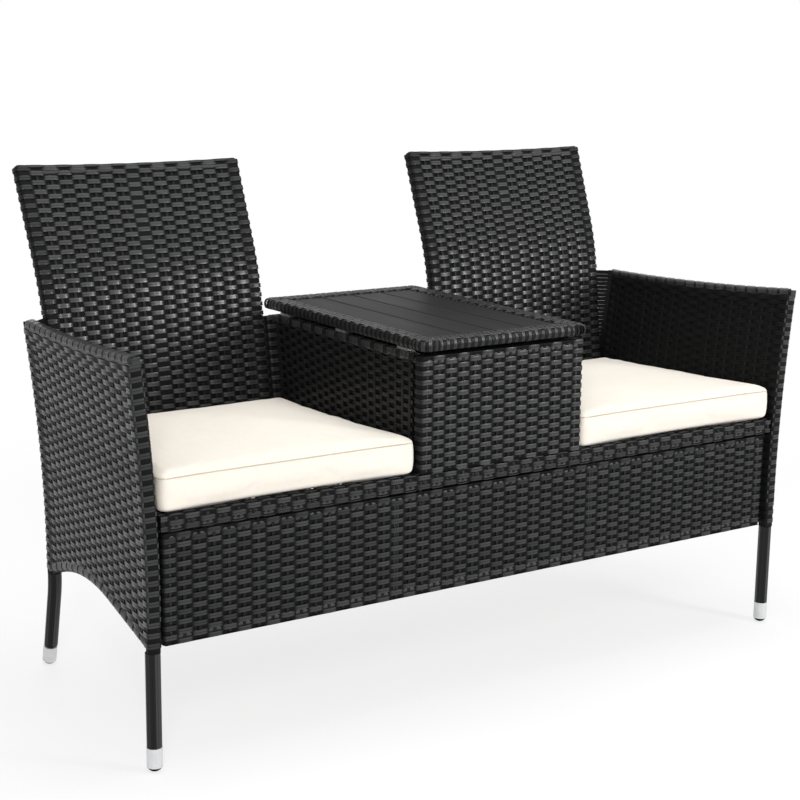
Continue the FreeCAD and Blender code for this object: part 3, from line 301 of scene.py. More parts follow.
class Strands:  # strands gathered into one piece
    def __init__(self):
        self.spots, self.quads, self.total = [], [], 0
        self.kept = {"tone": [], "lane": [], "rise": []}

    def lay(self, path, out, width, thick=weave["thick"], closed=False, tone=None, rise=1.0):
        path = np.asarray(path, float)
        count, size = len(path), len(strandSection)
        along = unit(np.roll(path, -1, 0) - np.roll(path, 1, 0) if closed else np.gradient(path, axis=0))
        side = unit(np.cross(along, np.broadcast_to(np.asarray(out, float), path.shape)))
        out = np.cross(side, along)
        width = np.broadcast_to(width, count)
        ring = (path[:, None] + side[:, None] * (strandSection[:, 0] * width[:, None])[..., None]
                + out[:, None] * (strandSection[:, 1] * thick)[None, :, None])
        turns = np.arange(count if closed else count - 1)[:, None]
        after = (turns + 1) % count
        corner = np.arange(size)
        beside = (corner + 1) % size
        quads = np.stack([turns * size + corner, turns * size + beside, after * size + beside,
                          after * size + corner], -1).reshape(-1, 4)
        if not closed:
            caps = np.array([(0, 1, 2, 7), (2, 3, 4, 7), (4, 5, 6, 7)])
            quads = np.concatenate([quads, caps[:, ::-1], caps + (count - 1) * size])
        self.spots.append(ring.reshape(-1, 3))
        self.quads.append(quads + self.total)
        self.kept["tone"].append(np.full(count * size, chance.random() if tone is None else tone))
        self.kept["lane"].append(np.tile(strandSection[:, 0] + 0.5, count))
        # rise: how far each point stands out, which the strand finish paints as light or shade; some faces and
        # edges are given lower values as painted shade
        self.kept["rise"].append(np.repeat(np.broadcast_to(rise, count), size))
        self.total += count * size

    def piece(self, name, finish, body="frame", stands=()):
        spots = np.concatenate(self.spots) * 0.001
        quads = np.concatenate(self.quads).astype(np.int32)
        mesh = bpy.data.meshes.new(name)
        mesh.vertices.add(len(spots))
        mesh.vertices.foreach_set("co", spots.astype(np.float32).ravel())
        mesh.loops.add(quads.size)
        mesh.loops.foreach_set("vertex_index", quads.ravel())
        mesh.polygons.add(len(quads))
        mesh.polygons.foreach_set("loop_start", np.arange(0, quads.size, 4, dtype=np.int32))
        mesh.polygons.foreach_set("use_smooth", np.ones(len(quads), bool))
        for key, values in self.kept.items():
            kept = mesh.attributes.new(key, "FLOAT", "POINT")
            kept.data.foreach_set("value", np.concatenate(values).astype(np.float32))
        mesh.update(calc_edges=True)
        mesh.validate()
        mesh.set_sharp_from_angle(angle=math.radians(42))
        mesh.materials.append(finishes[finish])
        made = link(name, mesh)
        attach(made, body)
        if stands:
            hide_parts(*stands)


def fillShadeCore(name, rings, closed=False):  # a dark sheet of painted shade, standing in for the shaded inside of a panel, seen between its strands
    made = ringMesh(name, rings, closed)
    for key in ("tone", "rise"):
        made.data.attributes.new(key, "FLOAT", "POINT")
    made.data.materials.append(finishes["stake"])
    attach(made, "frame")


def beatAt(phase, flat=weave["flat"]):  # 1 in front of a stake, -1 behind the next one, flat on both
    return np.clip(flat * np.cos(math.pi * phase), -1, 1)


def outline(columns, reach, band, sheet, rounding, calmTo=10.0):
    # one turn round a panel's section, with these at each point:
    # share between the edge axes, offset past them, depth, outward way along and across, wave, phase
    calm = weave["edgeWave"]
    share = np.linspace(0, 1, columns * weave["steps"] + 1)
    edge = np.minimum(share, 1 - share) * reach
    depth = between(band, sheet, ease(band - 1, band + 6, edge))
    wave = between(calm, 1, ease(calmTo - 8, calmTo, edge))
    face = np.stack([share, 0 * share, depth, 0 * share, 1 + 0 * share, wave, share * columns], -1)
    flat = band - rounding
    corner = []
    for a in np.linspace(0, math.pi / 2, 4):
        sine, cosine = math.sin(a), math.cos(a)
        corner.append((1, flat + rounding * sine, flat + rounding * cosine, sine, cosine, calm, columns))
    corner = np.array(corner)
    behind = np.array([1, 1, -1, 1, -1, 1, 1])
    turn = np.concatenate([corner, corner[::-1] * behind])
    start = turn[::-1] * np.array([0, -1, 1, -1, 1, 1, 0])
    return np.concatenate([face, turn, face[::-1] * behind, start])


def lifted(place, shape, level, lift):  # the points of one turn, moved out of the panel
    share, past, depth, wayA, wayN = shape[:, :5].T
    return place(level, share, past + wayA * lift, depth + wayN * lift, wayA, wayN)


def onFace(place, level, share, depth, way=1):  # points on a face of the panel
    none = 0 * share
    return place(level, share, none, none + depth, none, none + way)


def weaveRow(place, shape, level, row, calm=0.0, depth=weave["wave"], flat=weave["flat"]):
    # one closed row: its points, outward ways and how far each stands out, which the strand finish paints as
    # light on the crests and shade in the recesses
    beat = beatAt(shape[:, 6], flat) * (1 if row % 2 else -1)
    path, out = lifted(place, shape, level, depth * shape[:, 5] * (1 - calm) * (beat - 1))
    rise = beat * (1 - calm) + 0.5 * calm
    edge = ease(-0.05, 0.6, np.abs(shape[:, 3]))  # edges get painted shade, darker than the faces
    return path, out, rise * (1 - 0.65 * edge) - 0.12 * edge


def shadeCoreRing(place, shape, level):  # the painted-shade sheet's ring inside a row, behind its deepest strands
    thinned = shape[::2]
    return lifted(place, thinned, level, -(2 * weave["wave"] * thinned[:, 5] + weave["thick"] + 0.2))[0]


def halfTurns(rows):  # two stops for each row, for the stakes
    turns = np.arange(0, len(rows) - 0.5, 0.5)
    return turns, np.interp(turns, np.arange(len(rows)), rows)


def weaveStakes(name, place, columns, rows, depth, lowest=lambda share: 0.0):
    # upright strands on each face, between the rows that pass them in front and behind
    stakes = Strands()
    turns, levels = halfTurns(rows)
    for column in range(1, columns):
        share = column / columns
        kept = levels > lowest(share)
        if not kept.any():
            continue
        beat = np.cos(math.pi * (turns[kept] + column)) * weave["stakeWave"]
        for way in (1, -1):
            laid = [onFace(place, level, np.array([share]), offset, way)
                    for level, offset in zip(levels[kept], way * (depth - weave["wave"] + beat))]
            path, out = (np.concatenate(part) for part in zip(*laid))
            stakes.lay(path, out, weave["stakeWide"], weave["stakeThick"])
    stakes.piece(f"{name}_stakes", "stake")


def wind(strands, spine, section, pitch, wide, slant=0.0, group=0):
    # turns of strand wound round a bar with this section; the first turn of each group lies deeper and is
    # painted dark as shade, the other turns painted lit
    run = runOf(spine)
    count = max(2, int(round(run[-1] / pitch)))
    across, high, wayA, wayN = (section[:, i:i + 1] for i in range(4))
    for turn in range(count):
        spot = (turn + 0.5) * run[-1] / count
        ahead, behind = pointAt(min(spot + 2, run[-1]), run, spine), pointAt(max(spot - 2, 0), run, spine)
        along = unit(ahead - behind)
        side = unit(np.cross(along, vertical))
        up = np.cross(side, along)
        low = 0.9 if group and turn % group == 0 else 0.0
        path = (pointAt(spot, run, spine) + side * (across - low * wayA) + up * (high - low * wayN)
                + along * (slant * across / np.abs(across).max()))
        strands.lay(path, side * wayA + up * wayN, wide, closed=True, rise=0.1 if low else 0.75)


def roundSection(radius, count=14):
    angles = np.linspace(0, 2 * math.pi, count, endpoint=False)
    ways = np.stack([np.cos(angles), np.sin(angles)], -1)
    return np.concatenate([radius * ways, ways], 1)


def hemSection(halfWide, halfHigh, corner=3.0):
    # a rounded rectangle: across, up, and the outward way at each point
    spots = []
    for signX, signY, start in ((1, 1, 0), (-1, 1, 90), (-1, -1, 180), (1, -1, 270)):
        for step in (0, 45, 90):
            a = math.radians(start + step)
            spots.append((signX * (halfWide - corner) + corner * math.cos(a),
                          signY * (halfHigh - corner) + corner * math.sin(a), math.cos(a), math.sin(a)))
    return np.array(spots)


def bothSides(make, name):
    for side, tag in ((1, "right"), (-1, "left")):
        make(side, f"{name}_{tag}")


# backrests

backs = {"foot": (433.2, 386.0), "bend": (480.0, 663.0), "top": (554.0, 845.0), "bendRadius": 500.0,
         "outerFoot": 572.0, "outerTop": 591.0, "innerFoot": 192.8, "innerTop": 195.0, "band": 11.5,
         "sheet": 8.5, "rounding": 6.0, "columns": 16, "rows": 60, "firstRow": 4.0, "sag": 3.0, "brace": 8.0}


def backProfile():
    foot, bend, top = (np.array(backs[key]) for key in ("foot", "bend", "top"))
    first, second = unit(foot - bend), unit(top - bend)
    reach = backs["bendRadius"] / math.tan(math.acos(float(first @ second)) / 2)
    bent = [bendAt(bend + first * reach, bend, bend + second * reach, step / 12) for step in range(13)]
    return np.array([foot, *bent, top])


backLine = backProfile()
backRun = runOf(backLine)


def backPlace(side, tilt=0.0):
    def place(level, share, past, depth, outX, outN):
        end = backRun[-1]
        near = pointAt(min(max(level - 6, 0), end - 6), backRun, backLine)
        lean = unit(pointAt(min(level + 6, end), backRun, backLine) - near)
        spot = pointAt(level, backRun, backLine) + lean * max(level - end, 0)
        part = level / end
        inner = between(backs["innerFoot"], backs["innerTop"], part)
        outer = between(backs["outerFoot"], backs["outerTop"], part)
        forward, upward = np.array([0, -lean[1], lean[0]]), np.array([0, lean[0], lean[1]])
        x = between(inner, outer, share) + past
        bow = 1 - (2 * share - 1) ** 2  # the upper edge sags in the middle
        path = np.stack([x, 0 * x + spot[0] + frontLegY, 0 * x + spot[1]], -1)
        path = path + depth[:, None] * forward
        path = path - (backs["sag"] * bow * part ** 3)[:, None] * upward
        out = outX[:, None] * np.array([1.0, 0, 0]) + outN[:, None] * forward
        out = out * math.cos(tilt) + upward * math.sin(tilt)
        return flip(path, side), flip(out, side)
    return place


def makeBack(side, name):
    columns, rounding = backs["columns"], backs["rounding"]
    band, sheet = backs["band"] - weave["thick"] / 2, backs["sheet"] - weave["thick"] / 2
    reach = backs["outerFoot"] - backs["innerFoot"]
    shape = outline(columns, reach, band, sheet, rounding)
    brim = outline(columns, reach, band, band, rounding)
    for bent in (shape, brim):  # flatter over the brace in the middle
        aside = np.abs(bent[:, 0] - 0.5) * reach
        bent[:, 5] *= 0.22 + 0.78 * ease(backs["brace"], backs["brace"] + 8, aside)
    near = ease(7.0, 15.0, np.minimum(shape[:, 0], 1 - shape[:, 0]) * reach)  # the side edges get painted shade
    top = backRun[-1] + band - rounding
    rows = np.linspace(backs["firstRow"], top, backs["rows"])
    place = backPlace(side)
    strands = Strands()
    for row, level in enumerate(rows):  # the rows swell to the brim near the top edge
        swell = float(ease(top - 14, top, level))
        path, out, rise = weaveRow(place, between(shape, brim, swell), level, row, 0.5 * swell)
        # the backrests' strands get extra tone, painted light that makes them lighter and glossier than the
        # other panels; their side edges get painted shade
        strands.lay(path, out, weave["wide"], closed=True, tone=1.1 + 0.8 * chance.random(),
                    rise=rise * (0.45 + 0.55 * near) - 0.1 * (1 - near))
    for row, angle in enumerate((45, 90)):  # over the rounded upper edge, with half the painted crest light and recess shade, and darker
        a = math.radians(angle)
        thin = band - rounding * (1 - math.cos(a)) if angle < 90 else 3.7
        rest = outline(columns, reach, thin, thin, min(rounding, thin - 0.2))
        path, out, rise = weaveRow(backPlace(side, a), rest, top + rounding * math.sin(a), row, 0.5)
        strands.lay(path, out, weave["wide"] + 0.4, closed=True, rise=0.5 * rise - 0.1)
    strands.piece(f"{name}_weave", "strand", stands=[name])
    # the brace takes the middle stake's place
    weaveStakes(name, place, columns, rows, sheet, lambda share: math.inf if share == 0.5 else 0.0)
    fillShadeCore(f"{name}_shade_core", [shadeCoreRing(place, shape, level) for level in np.linspace(1.0, top + 3, 30)])


bothSides(makeBack, "back_panel")
print("backrests woven")


# arms

arms = {"frontX": 629.5, "frontTop": 652.5, "frontZ": 622.0, "middleZ": 608.0, "rearX": 597.0,
        "rearTop": 624.0, "rearZ": 604.0, "rearY": 446.0, "flareZ": 400.0, "flareRadius": 2900.0,
        "hemFront": 187.0, "hemRear": 181.0, "archFront": 198.0, "archBend": (280.0, 246.0),
        "archRear": 190.0, "archRadius": 480.0, "archWrap": 10.5, "band": 11.5, "sheet": 8.5, "rounding": 5.0,
        "columns": 18, "rows": 54, "cap": 13.0, "capCorner": 5.4, "wave": 1.3, "flat": 1.1, "wide": 8.3,
        "capTurns": {"pitch": 6.4, "wide": 6.3, "slant": 9.0, "group": 4},
        "archTurns": {"pitch": 6.9, "wide": 7.2, "slant": 2.0, "group": 4},
        "stitch": {"half": 0.008, "wide": 2.6, "thick": 1.3},
        "lace": {"low": 436.0, "high": 612.0, "wide": 7.6, "out": (-0.73, -0.68, 0.0)}}


def legX(end, z):  # how far out the leg's axis stands at a height
    low, radius = arms[f"{end}X"], arms["flareRadius"]
    lean = math.atan2(arms[f"{end}Top"] - low, arms[f"{end}Z"] - arms["flareZ"])
    start = arms["flareZ"] - radius * math.tan(lean / 2)
    rise = np.clip(z - start, 0, radius * math.sin(lean))
    bent = low + radius - np.sqrt(radius ** 2 - rise ** 2)
    return bent + np.maximum(z - start - radius * math.sin(lean), 0) * math.tan(lean)


def railZ(share):  # the arm rail sags towards the rear
    a, b, c = arms["frontZ"], arms["middleZ"], arms["rearZ"]
    return a + (4 * b - 3 * a - c) * share + 2 * (a + c - 2 * b) * share ** 2


def archZ(y):  # the axis of the arched lower rail
    bendY, bendZ = arms["archBend"]
    up = (bendZ - arms["archFront"]) / bendY
    down = (arms["archRear"] - bendZ) / (arms["rearY"] - bendY)
    reach = arms["archRadius"] * math.tan((math.atan(up) - math.atan(down)) / 2)
    a, c = bendY - reach * math.cos(math.atan(up)), bendY + reach * math.cos(math.atan(down))
    arc = bendAt(bendZ + up * (a - bendY), bendZ, bendZ + down * (c - bendY), np.clip((y - a) / (c - a), 0, 1))
    return np.where(y < a, bendZ + up * (y - bendY), np.where(y > c, bendZ + down * (y - bendY), arc))


def armHem(share):
    return between(arms["hemFront"], arms["hemRear"], share)


def archLevel(share):  # where the arch crosses the panel, as a share of its height
    return (archZ(share * arms["rearY"]) - armHem(share)) / (railZ(share) - armHem(share))


def armPlace(side):
    def place(level, share, past, depth, outA, outN):
        z = between(armHem(share), railZ(share), level)
        front, rear = legX("front", z), legX("rear", z)
        slope = legX("front", z + 1) - front
        span = np.stack([rear - front, 0 * front + arms["rearY"], 0 * front], -1)
        along = unit(span)
        outward = unit(np.stack([along[:, 1], -along[:, 0], -slope], -1))
        path = np.stack([front, 0 * front + frontLegY, z], -1) + span * share[:, None]
        path = path + along * past[:, None] + outward * depth[:, None]
        out = along * outA[:, None] + outward * outN[:, None]
        return flip(path, side), flip(out, side)
    return place


def armRows(strands, place, shape, brim, rows, height):
    for row, level in enumerate(rows):
        swell = float(ease(1 - 26 / height, 1 - 8 / height, level))
        path, out, rise = weaveRow(place, between(shape, brim, swell), level, row, 0.0, arms["wave"],
                                   arms["flat"])
        # the faces' painted crest light and recess shade are softened
        rise = np.where(np.abs(shape[:, 3]) < 0.1, 0.29 + 0.42 * rise, rise)
        rise = np.where(shape[:, 3] < -0.5, 1.5 * rise + 0.22, rise)  # the front post's bars get stronger painted light and shade
        rise = np.where(shape[:, 4] < -0.5, 0.3 * rise - 0.22, rise)  # the inner face is painted darker, as shade
        y = path[:, 1] - frontLegY
        held = path[:, 2] > archZ(np.clip(y, 0, arms["rearY"])) + 2
        held |= (y < 8) | (y > arms["rearY"] - 8)
        if held.all():
            strands.lay(path, out, arms["wide"], closed=True, rise=rise)
            continue
        first = int(np.flatnonzero(~held & np.roll(held, -1))[0]) + 1  # cut where the arch crosses the row
        order = (np.arange(len(path)) + first) % len(path)
        for run in np.split(order, np.flatnonzero(np.diff(held[order].astype(int))) + 1):
            if held[run[0]] and len(run) > 3:
                strands.lay(path[run], out[run], arms["wide"], rise=rise[run])


def armTrim(strands, side, place, rows, band, height):
    length, stitch, lace = arms["rearY"], arms["stitch"], arms["lace"]
    inset = (band - 3.9) / length
    rail, _ = onFace(place, 1.0, np.linspace(-inset, 1 + inset, 60), 0.0)
    cap = hemSection(band, arms["cap"] / 2 - weave["thick"] / 2, arms["capCorner"])
    wind(strands, rail + vertical * (arms["band"] - arms["cap"] / 2), cap, **arms["capTurns"])
    across = np.linspace(-8.6, 8.6, 5)
    none = 0 * across
    for end, way in ((0, -1.0), (1, 1.0)):  # the rail's ends
        for drop in (-1.0, 5.6):
            path, out = place(1 + drop / height, none + end, none + way * band, across, none + way, none)
            strands.lay(path, out, 7.0, rise=0.6)
    edge = np.full(2, band - arms["rounding"] * 0.28)
    for level in rows[6:-1:2]:  # stitches down the front post's edges, painted at full crest light as highlight lines
        for way in (1, -1):
            spot = np.array([level - stitch["half"], level + stitch["half"]])
            path, out = place(spot, np.zeros(2), -edge, way * edge, np.full(2, -0.7), np.full(2, 0.7 * way))
            strands.lay(path, out, stitch["wide"], stitch["thick"], tone=1.0, rise=0.95)
    for z in np.arange(lace["low"], lace["high"], lace["wide"]):  # closes the corner beside the backrest; its strands are painted dark as the shade there
        rearY, run = (float(np.interp(z, backLine[:, 1], line)) for line in (backLine[:, 0], backRun))
        rearX = between(backs["outerFoot"], backs["outerTop"], run / backRun[-1]) + 6
        frontX = float(legX("rear", np.array(z))) - band + 1
        path = np.linspace((frontX, length - 4, z), (rearX, rearY - 4, z), 5) + np.array([0, frontLegY, 0])
        strands.lay(flip(path, side), flip(np.array(lace["out"]), side), lace["wide"], rise=-0.1)
    y = np.linspace(-2, length + 2, 60)
    arch = np.stack([between(arms["frontX"], arms["rearX"], y / length), y + frontLegY, archZ(y)], -1)
    wind(strands, flip(arch, side), roundSection(arms["archWrap"] - weave["thick"] / 2), **arms["archTurns"])


def makeArm(side, name):
    columns, rounding = arms["columns"], arms["rounding"]
    band, sheet = arms["band"] - weave["thick"] / 2, arms["sheet"] - weave["thick"] / 2
    shape = outline(columns, arms["rearY"], band, sheet, rounding, 4.0)
    brim = outline(columns, arms["rearY"], band, band, rounding, 4.0)
    height = arms["middleZ"] - arms["hemFront"]
    rows = np.linspace(0.01, 1 - (arms["cap"] - arms["band"] + 4.5) / height, arms["rows"])
    place = armPlace(side)
    strands = Strands()
    armRows(strands, place, shape, brim, rows, height)
    armTrim(strands, side, place, rows, band, height)
    strands.piece(f"{name}_weave", "strand", stands=[name])
    weaveStakes(name, place, columns, rows, sheet, archLevel)
    lowest = np.maximum(archLevel(shape[::2, 0]), 0.0) + 0.01
    fillShadeCore(f"{name}_shade_core", [shadeCoreRing(place, shape, between(lowest, 0.98, step / 20)) for step in range(21)])


bothSides(makeArm, "arm_panel")
print("arms woven")


# upright panels that run along the bench

apron = {"low": 192.0, "high": 365.5, "x": 601.5, "y": -264.5, "thick": 23.0, "rounding": 6.0,
         "columns": 48, "rows": 23, "lean": 0.0, "paintedLightAndGloss": -0.2}
consoleFront = {"low": 395.1, "high": 587.0, "x": 153.5, "y": -273.5, "thick": 23.0, "rounding": 5.0,
                "columns": 13, "rows": 25, "lean": 0.0, "paintedLightAndGloss": 0.7}
consoleRear = {"low": 386.0, "high": 584.5, "x": 168.5, "y": 160.2, "thick": 23.0, "rounding": 5.0,
               "columns": 13, "rows": 26, "lean": 0.1690, "paintedLightAndGloss": 0.0}


def barPlace(spec):
    # rows climb from low to high between +-x; lean is the travel to the rear for each mm of height
    forward = np.array([0, -1.0, spec["lean"]]) / math.hypot(1, spec["lean"])

    def place(level, share, past, depth, outX, outN):
        across = between(-spec["x"], spec["x"], share) + past
        rear = spec["y"] + spec["lean"] * (level - spec["low"])
        path = np.stack([across, 0 * across + rear, 0 * across + level], -1)
        return path + depth[:, None] * forward, outX[:, None] * np.array([1.0, 0, 0]) + outN[:, None] * forward
    return place


def makeUpright(name, spec):
    half = spec["thick"] / 2 - weave["thick"] / 2
    shape = outline(spec["columns"], 2 * spec["x"], half, half, spec["rounding"], 5.0)
    rows = np.linspace(spec["low"] + 4.2, spec["high"] - 5.6, spec["rows"])
    place = barPlace(spec)
    strands = Strands()
    for row, level in enumerate(rows):
        path, out, rise = weaveRow(place, shape, level, row)
        # each panel's extra tone paints it lighter or darker, as light, and changes its coat; its rows get
        # slightly less painted light
        strands.lay(path, out, weave["wide"], closed=True, tone=chance.random() + spec["paintedLightAndGloss"],
                    rise=0.9 * rise - 0.06)
    share = np.linspace(0, 1, 60)
    past = np.where(share == 0, -7, np.where(share == 1, 7, 0.0))
    for z, way in ((spec["high"] - 2.3, 1), (spec["low"] + 0.9, -1)):  # along the upper and lower edge, painted dark as the shade lines there
        for lane in (-7.2, 0.0, 7.2):
            path, _ = place(z, share, past, 0 * share + lane, 0 * share, 1 + 0 * share)
            strands.lay(path, vertical * way, 7.1, rise=-0.1)
    strands.piece(f"{name}_weave", "strand", stands=[name])
    weaveStakes(name, place, spec["columns"], rows, half)
    fillShadeCore(f"{name}_shade_core", [shadeCoreRing(place, shape, level) for level in (spec["low"] + 2, spec["high"] - 2)])


makeUpright("apron_panel", apron)
makeUpright("console_front_panel", consoleFront)
makeUpright("console_rear_panel", consoleRear)
print("apron and console ends woven")


# console sides

consoleSide = {"inner": 148.0, "outer": 165.0, "front": -261.7, "rearLow": 148.5, "rearHigh": 183.0,
               "lowFront": 394.5, "lowRear": 384.0, "high": 586.5, "columns": 21, "rows": 25,
               "ends": (0.004, 0.996), "wide": 6.8, "uprightWide": 6.0, "hemLevel": 0.968, "hemHalf": 6.6,
               "hemTurns": {"pitch": 12.4, "wide": 11.6, "group": 3}}


def sidePlace(side):
    spec = consoleSide
    middle = (spec["inner"] + spec["outer"]) / 2

    def place(level, share, past, depth, outA, outN):
        y = between(spec["front"], between(spec["rearLow"], spec["rearHigh"], level), share)
        z = between(between(spec["lowFront"], spec["lowRear"], share), spec["high"], level)
        path = np.stack([middle + depth, y, z], -1)
        return flip(path, side), flip(np.stack([outN, 0 * outN, 0 * outN], -1), side)
    return place


def makeConsoleSide(side, name):
    spec = consoleSide
    first, last = spec["ends"]
    share = np.linspace(first, last, spec["columns"] * weave["steps"] + 1)
    half = (spec["outer"] - spec["inner"]) / 2 - weave["thick"] / 2
    rows = np.linspace(0.02, 0.935, spec["rows"])
    place = sidePlace(side)
    strands = Strands()
    # the console sides get weak painted crest light and low rise on the uprights: painted shade, as they lie
    # under the rim
    for row, level in enumerate(rows):
        beat = beatAt(share * spec["columns"]) * (1 if row % 2 else -1)
        for way in (1, -1):
            path, out = onFace(place, level, share, way * (half + weave["wave"] * (beat - 1)), way)
            strands.lay(path, out, spec["wide"], rise=0.35 * beat - 0.1)
    _, levels = halfTurns(rows)
    for column in range(spec["columns"]):  # upright strands beside the openings
        for way in (1, -1):
            spot = 0 * levels + (column + 0.5) / spec["columns"]
            path, out = onFace(place, levels, spot, way * half, way)
            strands.lay(path, out, spec["uprightWide"], rise=0.12)
    spine, _ = onFace(place, spec["hemLevel"], np.linspace(first, last, 40), 0.0)
    wind(strands, spine, hemSection(half, spec["hemHalf"]), **spec["hemTurns"])
    strands.piece(f"{name}_weave", "strand", stands=[name])
    thin = half - 2 * weave["wave"] - weave["thick"]
    ends, deep = np.array([first, last, last, first]), np.array([thin, thin, -thin, -thin])
    fillShadeCore(f"{name}_shade_core", [onFace(place, level, ends, deep)[0] for level in (0.01, 0.96)])


bothSides(makeConsoleSide, "console_side_panel")
print("console sides woven")


# seat rails and decks

seatTilt = math.radians(1.5)
seat = {"frontY": 3.0 + frontLegY, "frontZ": 381.5, "depth": 430.0, "frontHalf": 617.0, "rearHalf": 585.0,
        "band": 13.0, "rounding": 6.0, "columns": 48, "lanes": (-7.6, 0.0, 7.6), "wide": 7.3, "wave": 1.4,
        "stakeShare": 0.885, "shadeCoreShare": 0.72}


def makeSeatRail(name, y, half):
    z = seat["frontZ"] - (y - seat["frontY"]) * math.tan(seatTilt)
    skin = seat["band"] - 0.8
    section = hemSection(skin, skin, seat["rounding"])
    columns = seat["columns"]
    share = np.linspace(0, 1, columns * weave["steps"] + 1)
    x = between(-half, half, share)
    strands = Strands()
    row = 0
    for out in ((0, -1.0, 0), (0, 0, 1.0), (0, 1.0, 0), (0, 0, -1.0)):  # front, top, rear, underside
        aside = np.cross(out, (1.0, 0, 0))
        for lane in seat["lanes"]:
            row += 1
            beat = beatAt(share * columns) * (1 if row % 2 else -1)
            depth = skin + seat["wave"] * (beat - 1)
            path = np.stack([x, 0 * x + y, 0 * x + z], -1) + depth[:, None] * np.array(out) + lane * aside
            # painted crest light and recess shade, a little darker overall as shade under the cushion
            strands.lay(path, out, seat["wide"], rise=0.9 * beat - 0.12)
    strands.piece(f"{name}_weave", "strand", stands=[name])
    stakes = Strands()
    none = 0 * section[:, 0]
    out = np.stack([none, section[:, 2], section[:, 3]], -1)
    around = np.stack([none, section[:, 0], section[:, 1]], -1)
    for column in range(columns + 1):
        spot = min(max(between(-half, half, column / columns), 4 - half), half - 4)
        path = around * seat["stakeShare"] + np.array([spot, y, z])
        stakes.lay(path, out, weave["stakeWide"], weave["stakeThick"], closed=True)
    stakes.piece(f"{name}_stakes", "stake")
    fillShadeCore(f"{name}_shade_core", [around * seat["shadeCoreShare"] + np.array([x, y, z]) for x in (1 - half, half - 1)])


makeSeatRail("seat_front_wrap", seat["frontY"], seat["frontHalf"])
makeSeatRail("seat_rear_wrap", seat["frontY"] + seat["depth"] * math.cos(seatTilt), seat["rearHalf"])

deck = {"inner": 166.0, "outerFront": 612.0, "outerRear": 582.5, "front": 13.5, "rear": 416.5,
        "columns": 17, "rows": 52, "up": 11.2, "wave": 0.8, "wide": 7.2, "thick": 1.2}


def makeDeck(side, name):
    upward = np.array([0, math.sin(seatTilt), math.cos(seatTilt)])

    def place(level, share, beat):
        y = between(deck["front"], deck["rear"], level)
        x = between(deck["inner"], between(deck["outerFront"], deck["outerRear"], level), share)
        z = seat["frontZ"] + deck["up"] - y * math.sin(seatTilt)
        return flip(np.stack([x, 0 * x + seat["frontY"] + y, z + deck["wave"] * beat], -1), side)

    strands = Strands()
    share = np.linspace(0, 1, deck["columns"] * 4 + 1)
    for row in range(deck["rows"]):
        beat = np.cos(math.pi * share * deck["columns"]) * (1 if row % 2 else -1)
        path = place((row + 0.5) / deck["rows"], share, beat)
        strands.lay(path, upward, deck["wide"], deck["thick"], rise=beat)
    strands.piece(f"{name}_weave", "strand", stands=[name])
    stakes = Strands()
    turns = np.arange(0, deck["rows"] - 0.5, 0.5)
    for column in range(1, deck["columns"]):
        path = place((turns + 0.5) / deck["rows"], column / deck["columns"], np.cos(math.pi * (turns + column)))
        stakes.lay(path, upward, weave["stakeWide"], weave["stakeThick"])
    stakes.piece(f"{name}_stakes", "stake")


bothSides(makeDeck, "seat_deck")
print("seat rails and decks woven")


# table rim: strands wound across it, braided on top with strands that run along it

rim = {"x": 166.0, "front": -292.5, "rear": 222.0, "low": 591.9, "high": 611.9, "width": 37.0, "corner": 10.0,
       "round": 7.0, "pitch": 6.75, "lane": 9.5, "fan": 12, "thick": 1.4, "runWide": 7.6, "runThick": 1.3}


def rimReach(turn):
    # from the inner corner to the outer edge, with the outer corner rounded
    aim = np.array([math.cos(turn), math.sin(turn)])
    straight = rim["width"] / aim.max()
    middle = rim["width"] - rim["corner"]
    if (aim * straight).min() < middle:
        return straight
    near = aim.sum() * middle
    return near + math.sqrt(near ** 2 - 2 * middle ** 2 + rim["corner"] ** 2)


def rimPath():
    # points along the inner edge: the place, the way outwards, the reach to the outer edge, whether at a corner
    inX, inFront, inRear = rim["x"] - rim["width"], rim["front"] + rim["width"], rim["rear"] - rim["width"]
    corners = np.array([(inX, inFront), (inX, inRear), (-inX, inRear), (-inX, inFront)])
    stops = []
    for index, spot in enumerate(corners):
        after, heading = corners[(index + 1) % 4], math.radians(90 * index)
        way = np.array([math.cos(heading), math.sin(heading), 0.0])
        count = 2 * int(round(np.linalg.norm(after - spot) / rim["pitch"] / 2))
        for step in range(count):
            stops.append((between(spot, after, (step + 0.5) / count), way, rim["width"], False))
        for step in range(rim["fan"]):
            turn = math.radians((step + 0.5) / rim["fan"] * 90)
            way = np.array([math.cos(heading + turn), math.sin(heading + turn), 0.0])
            stops.append((after, way, rimReach(turn), True))
    return stops


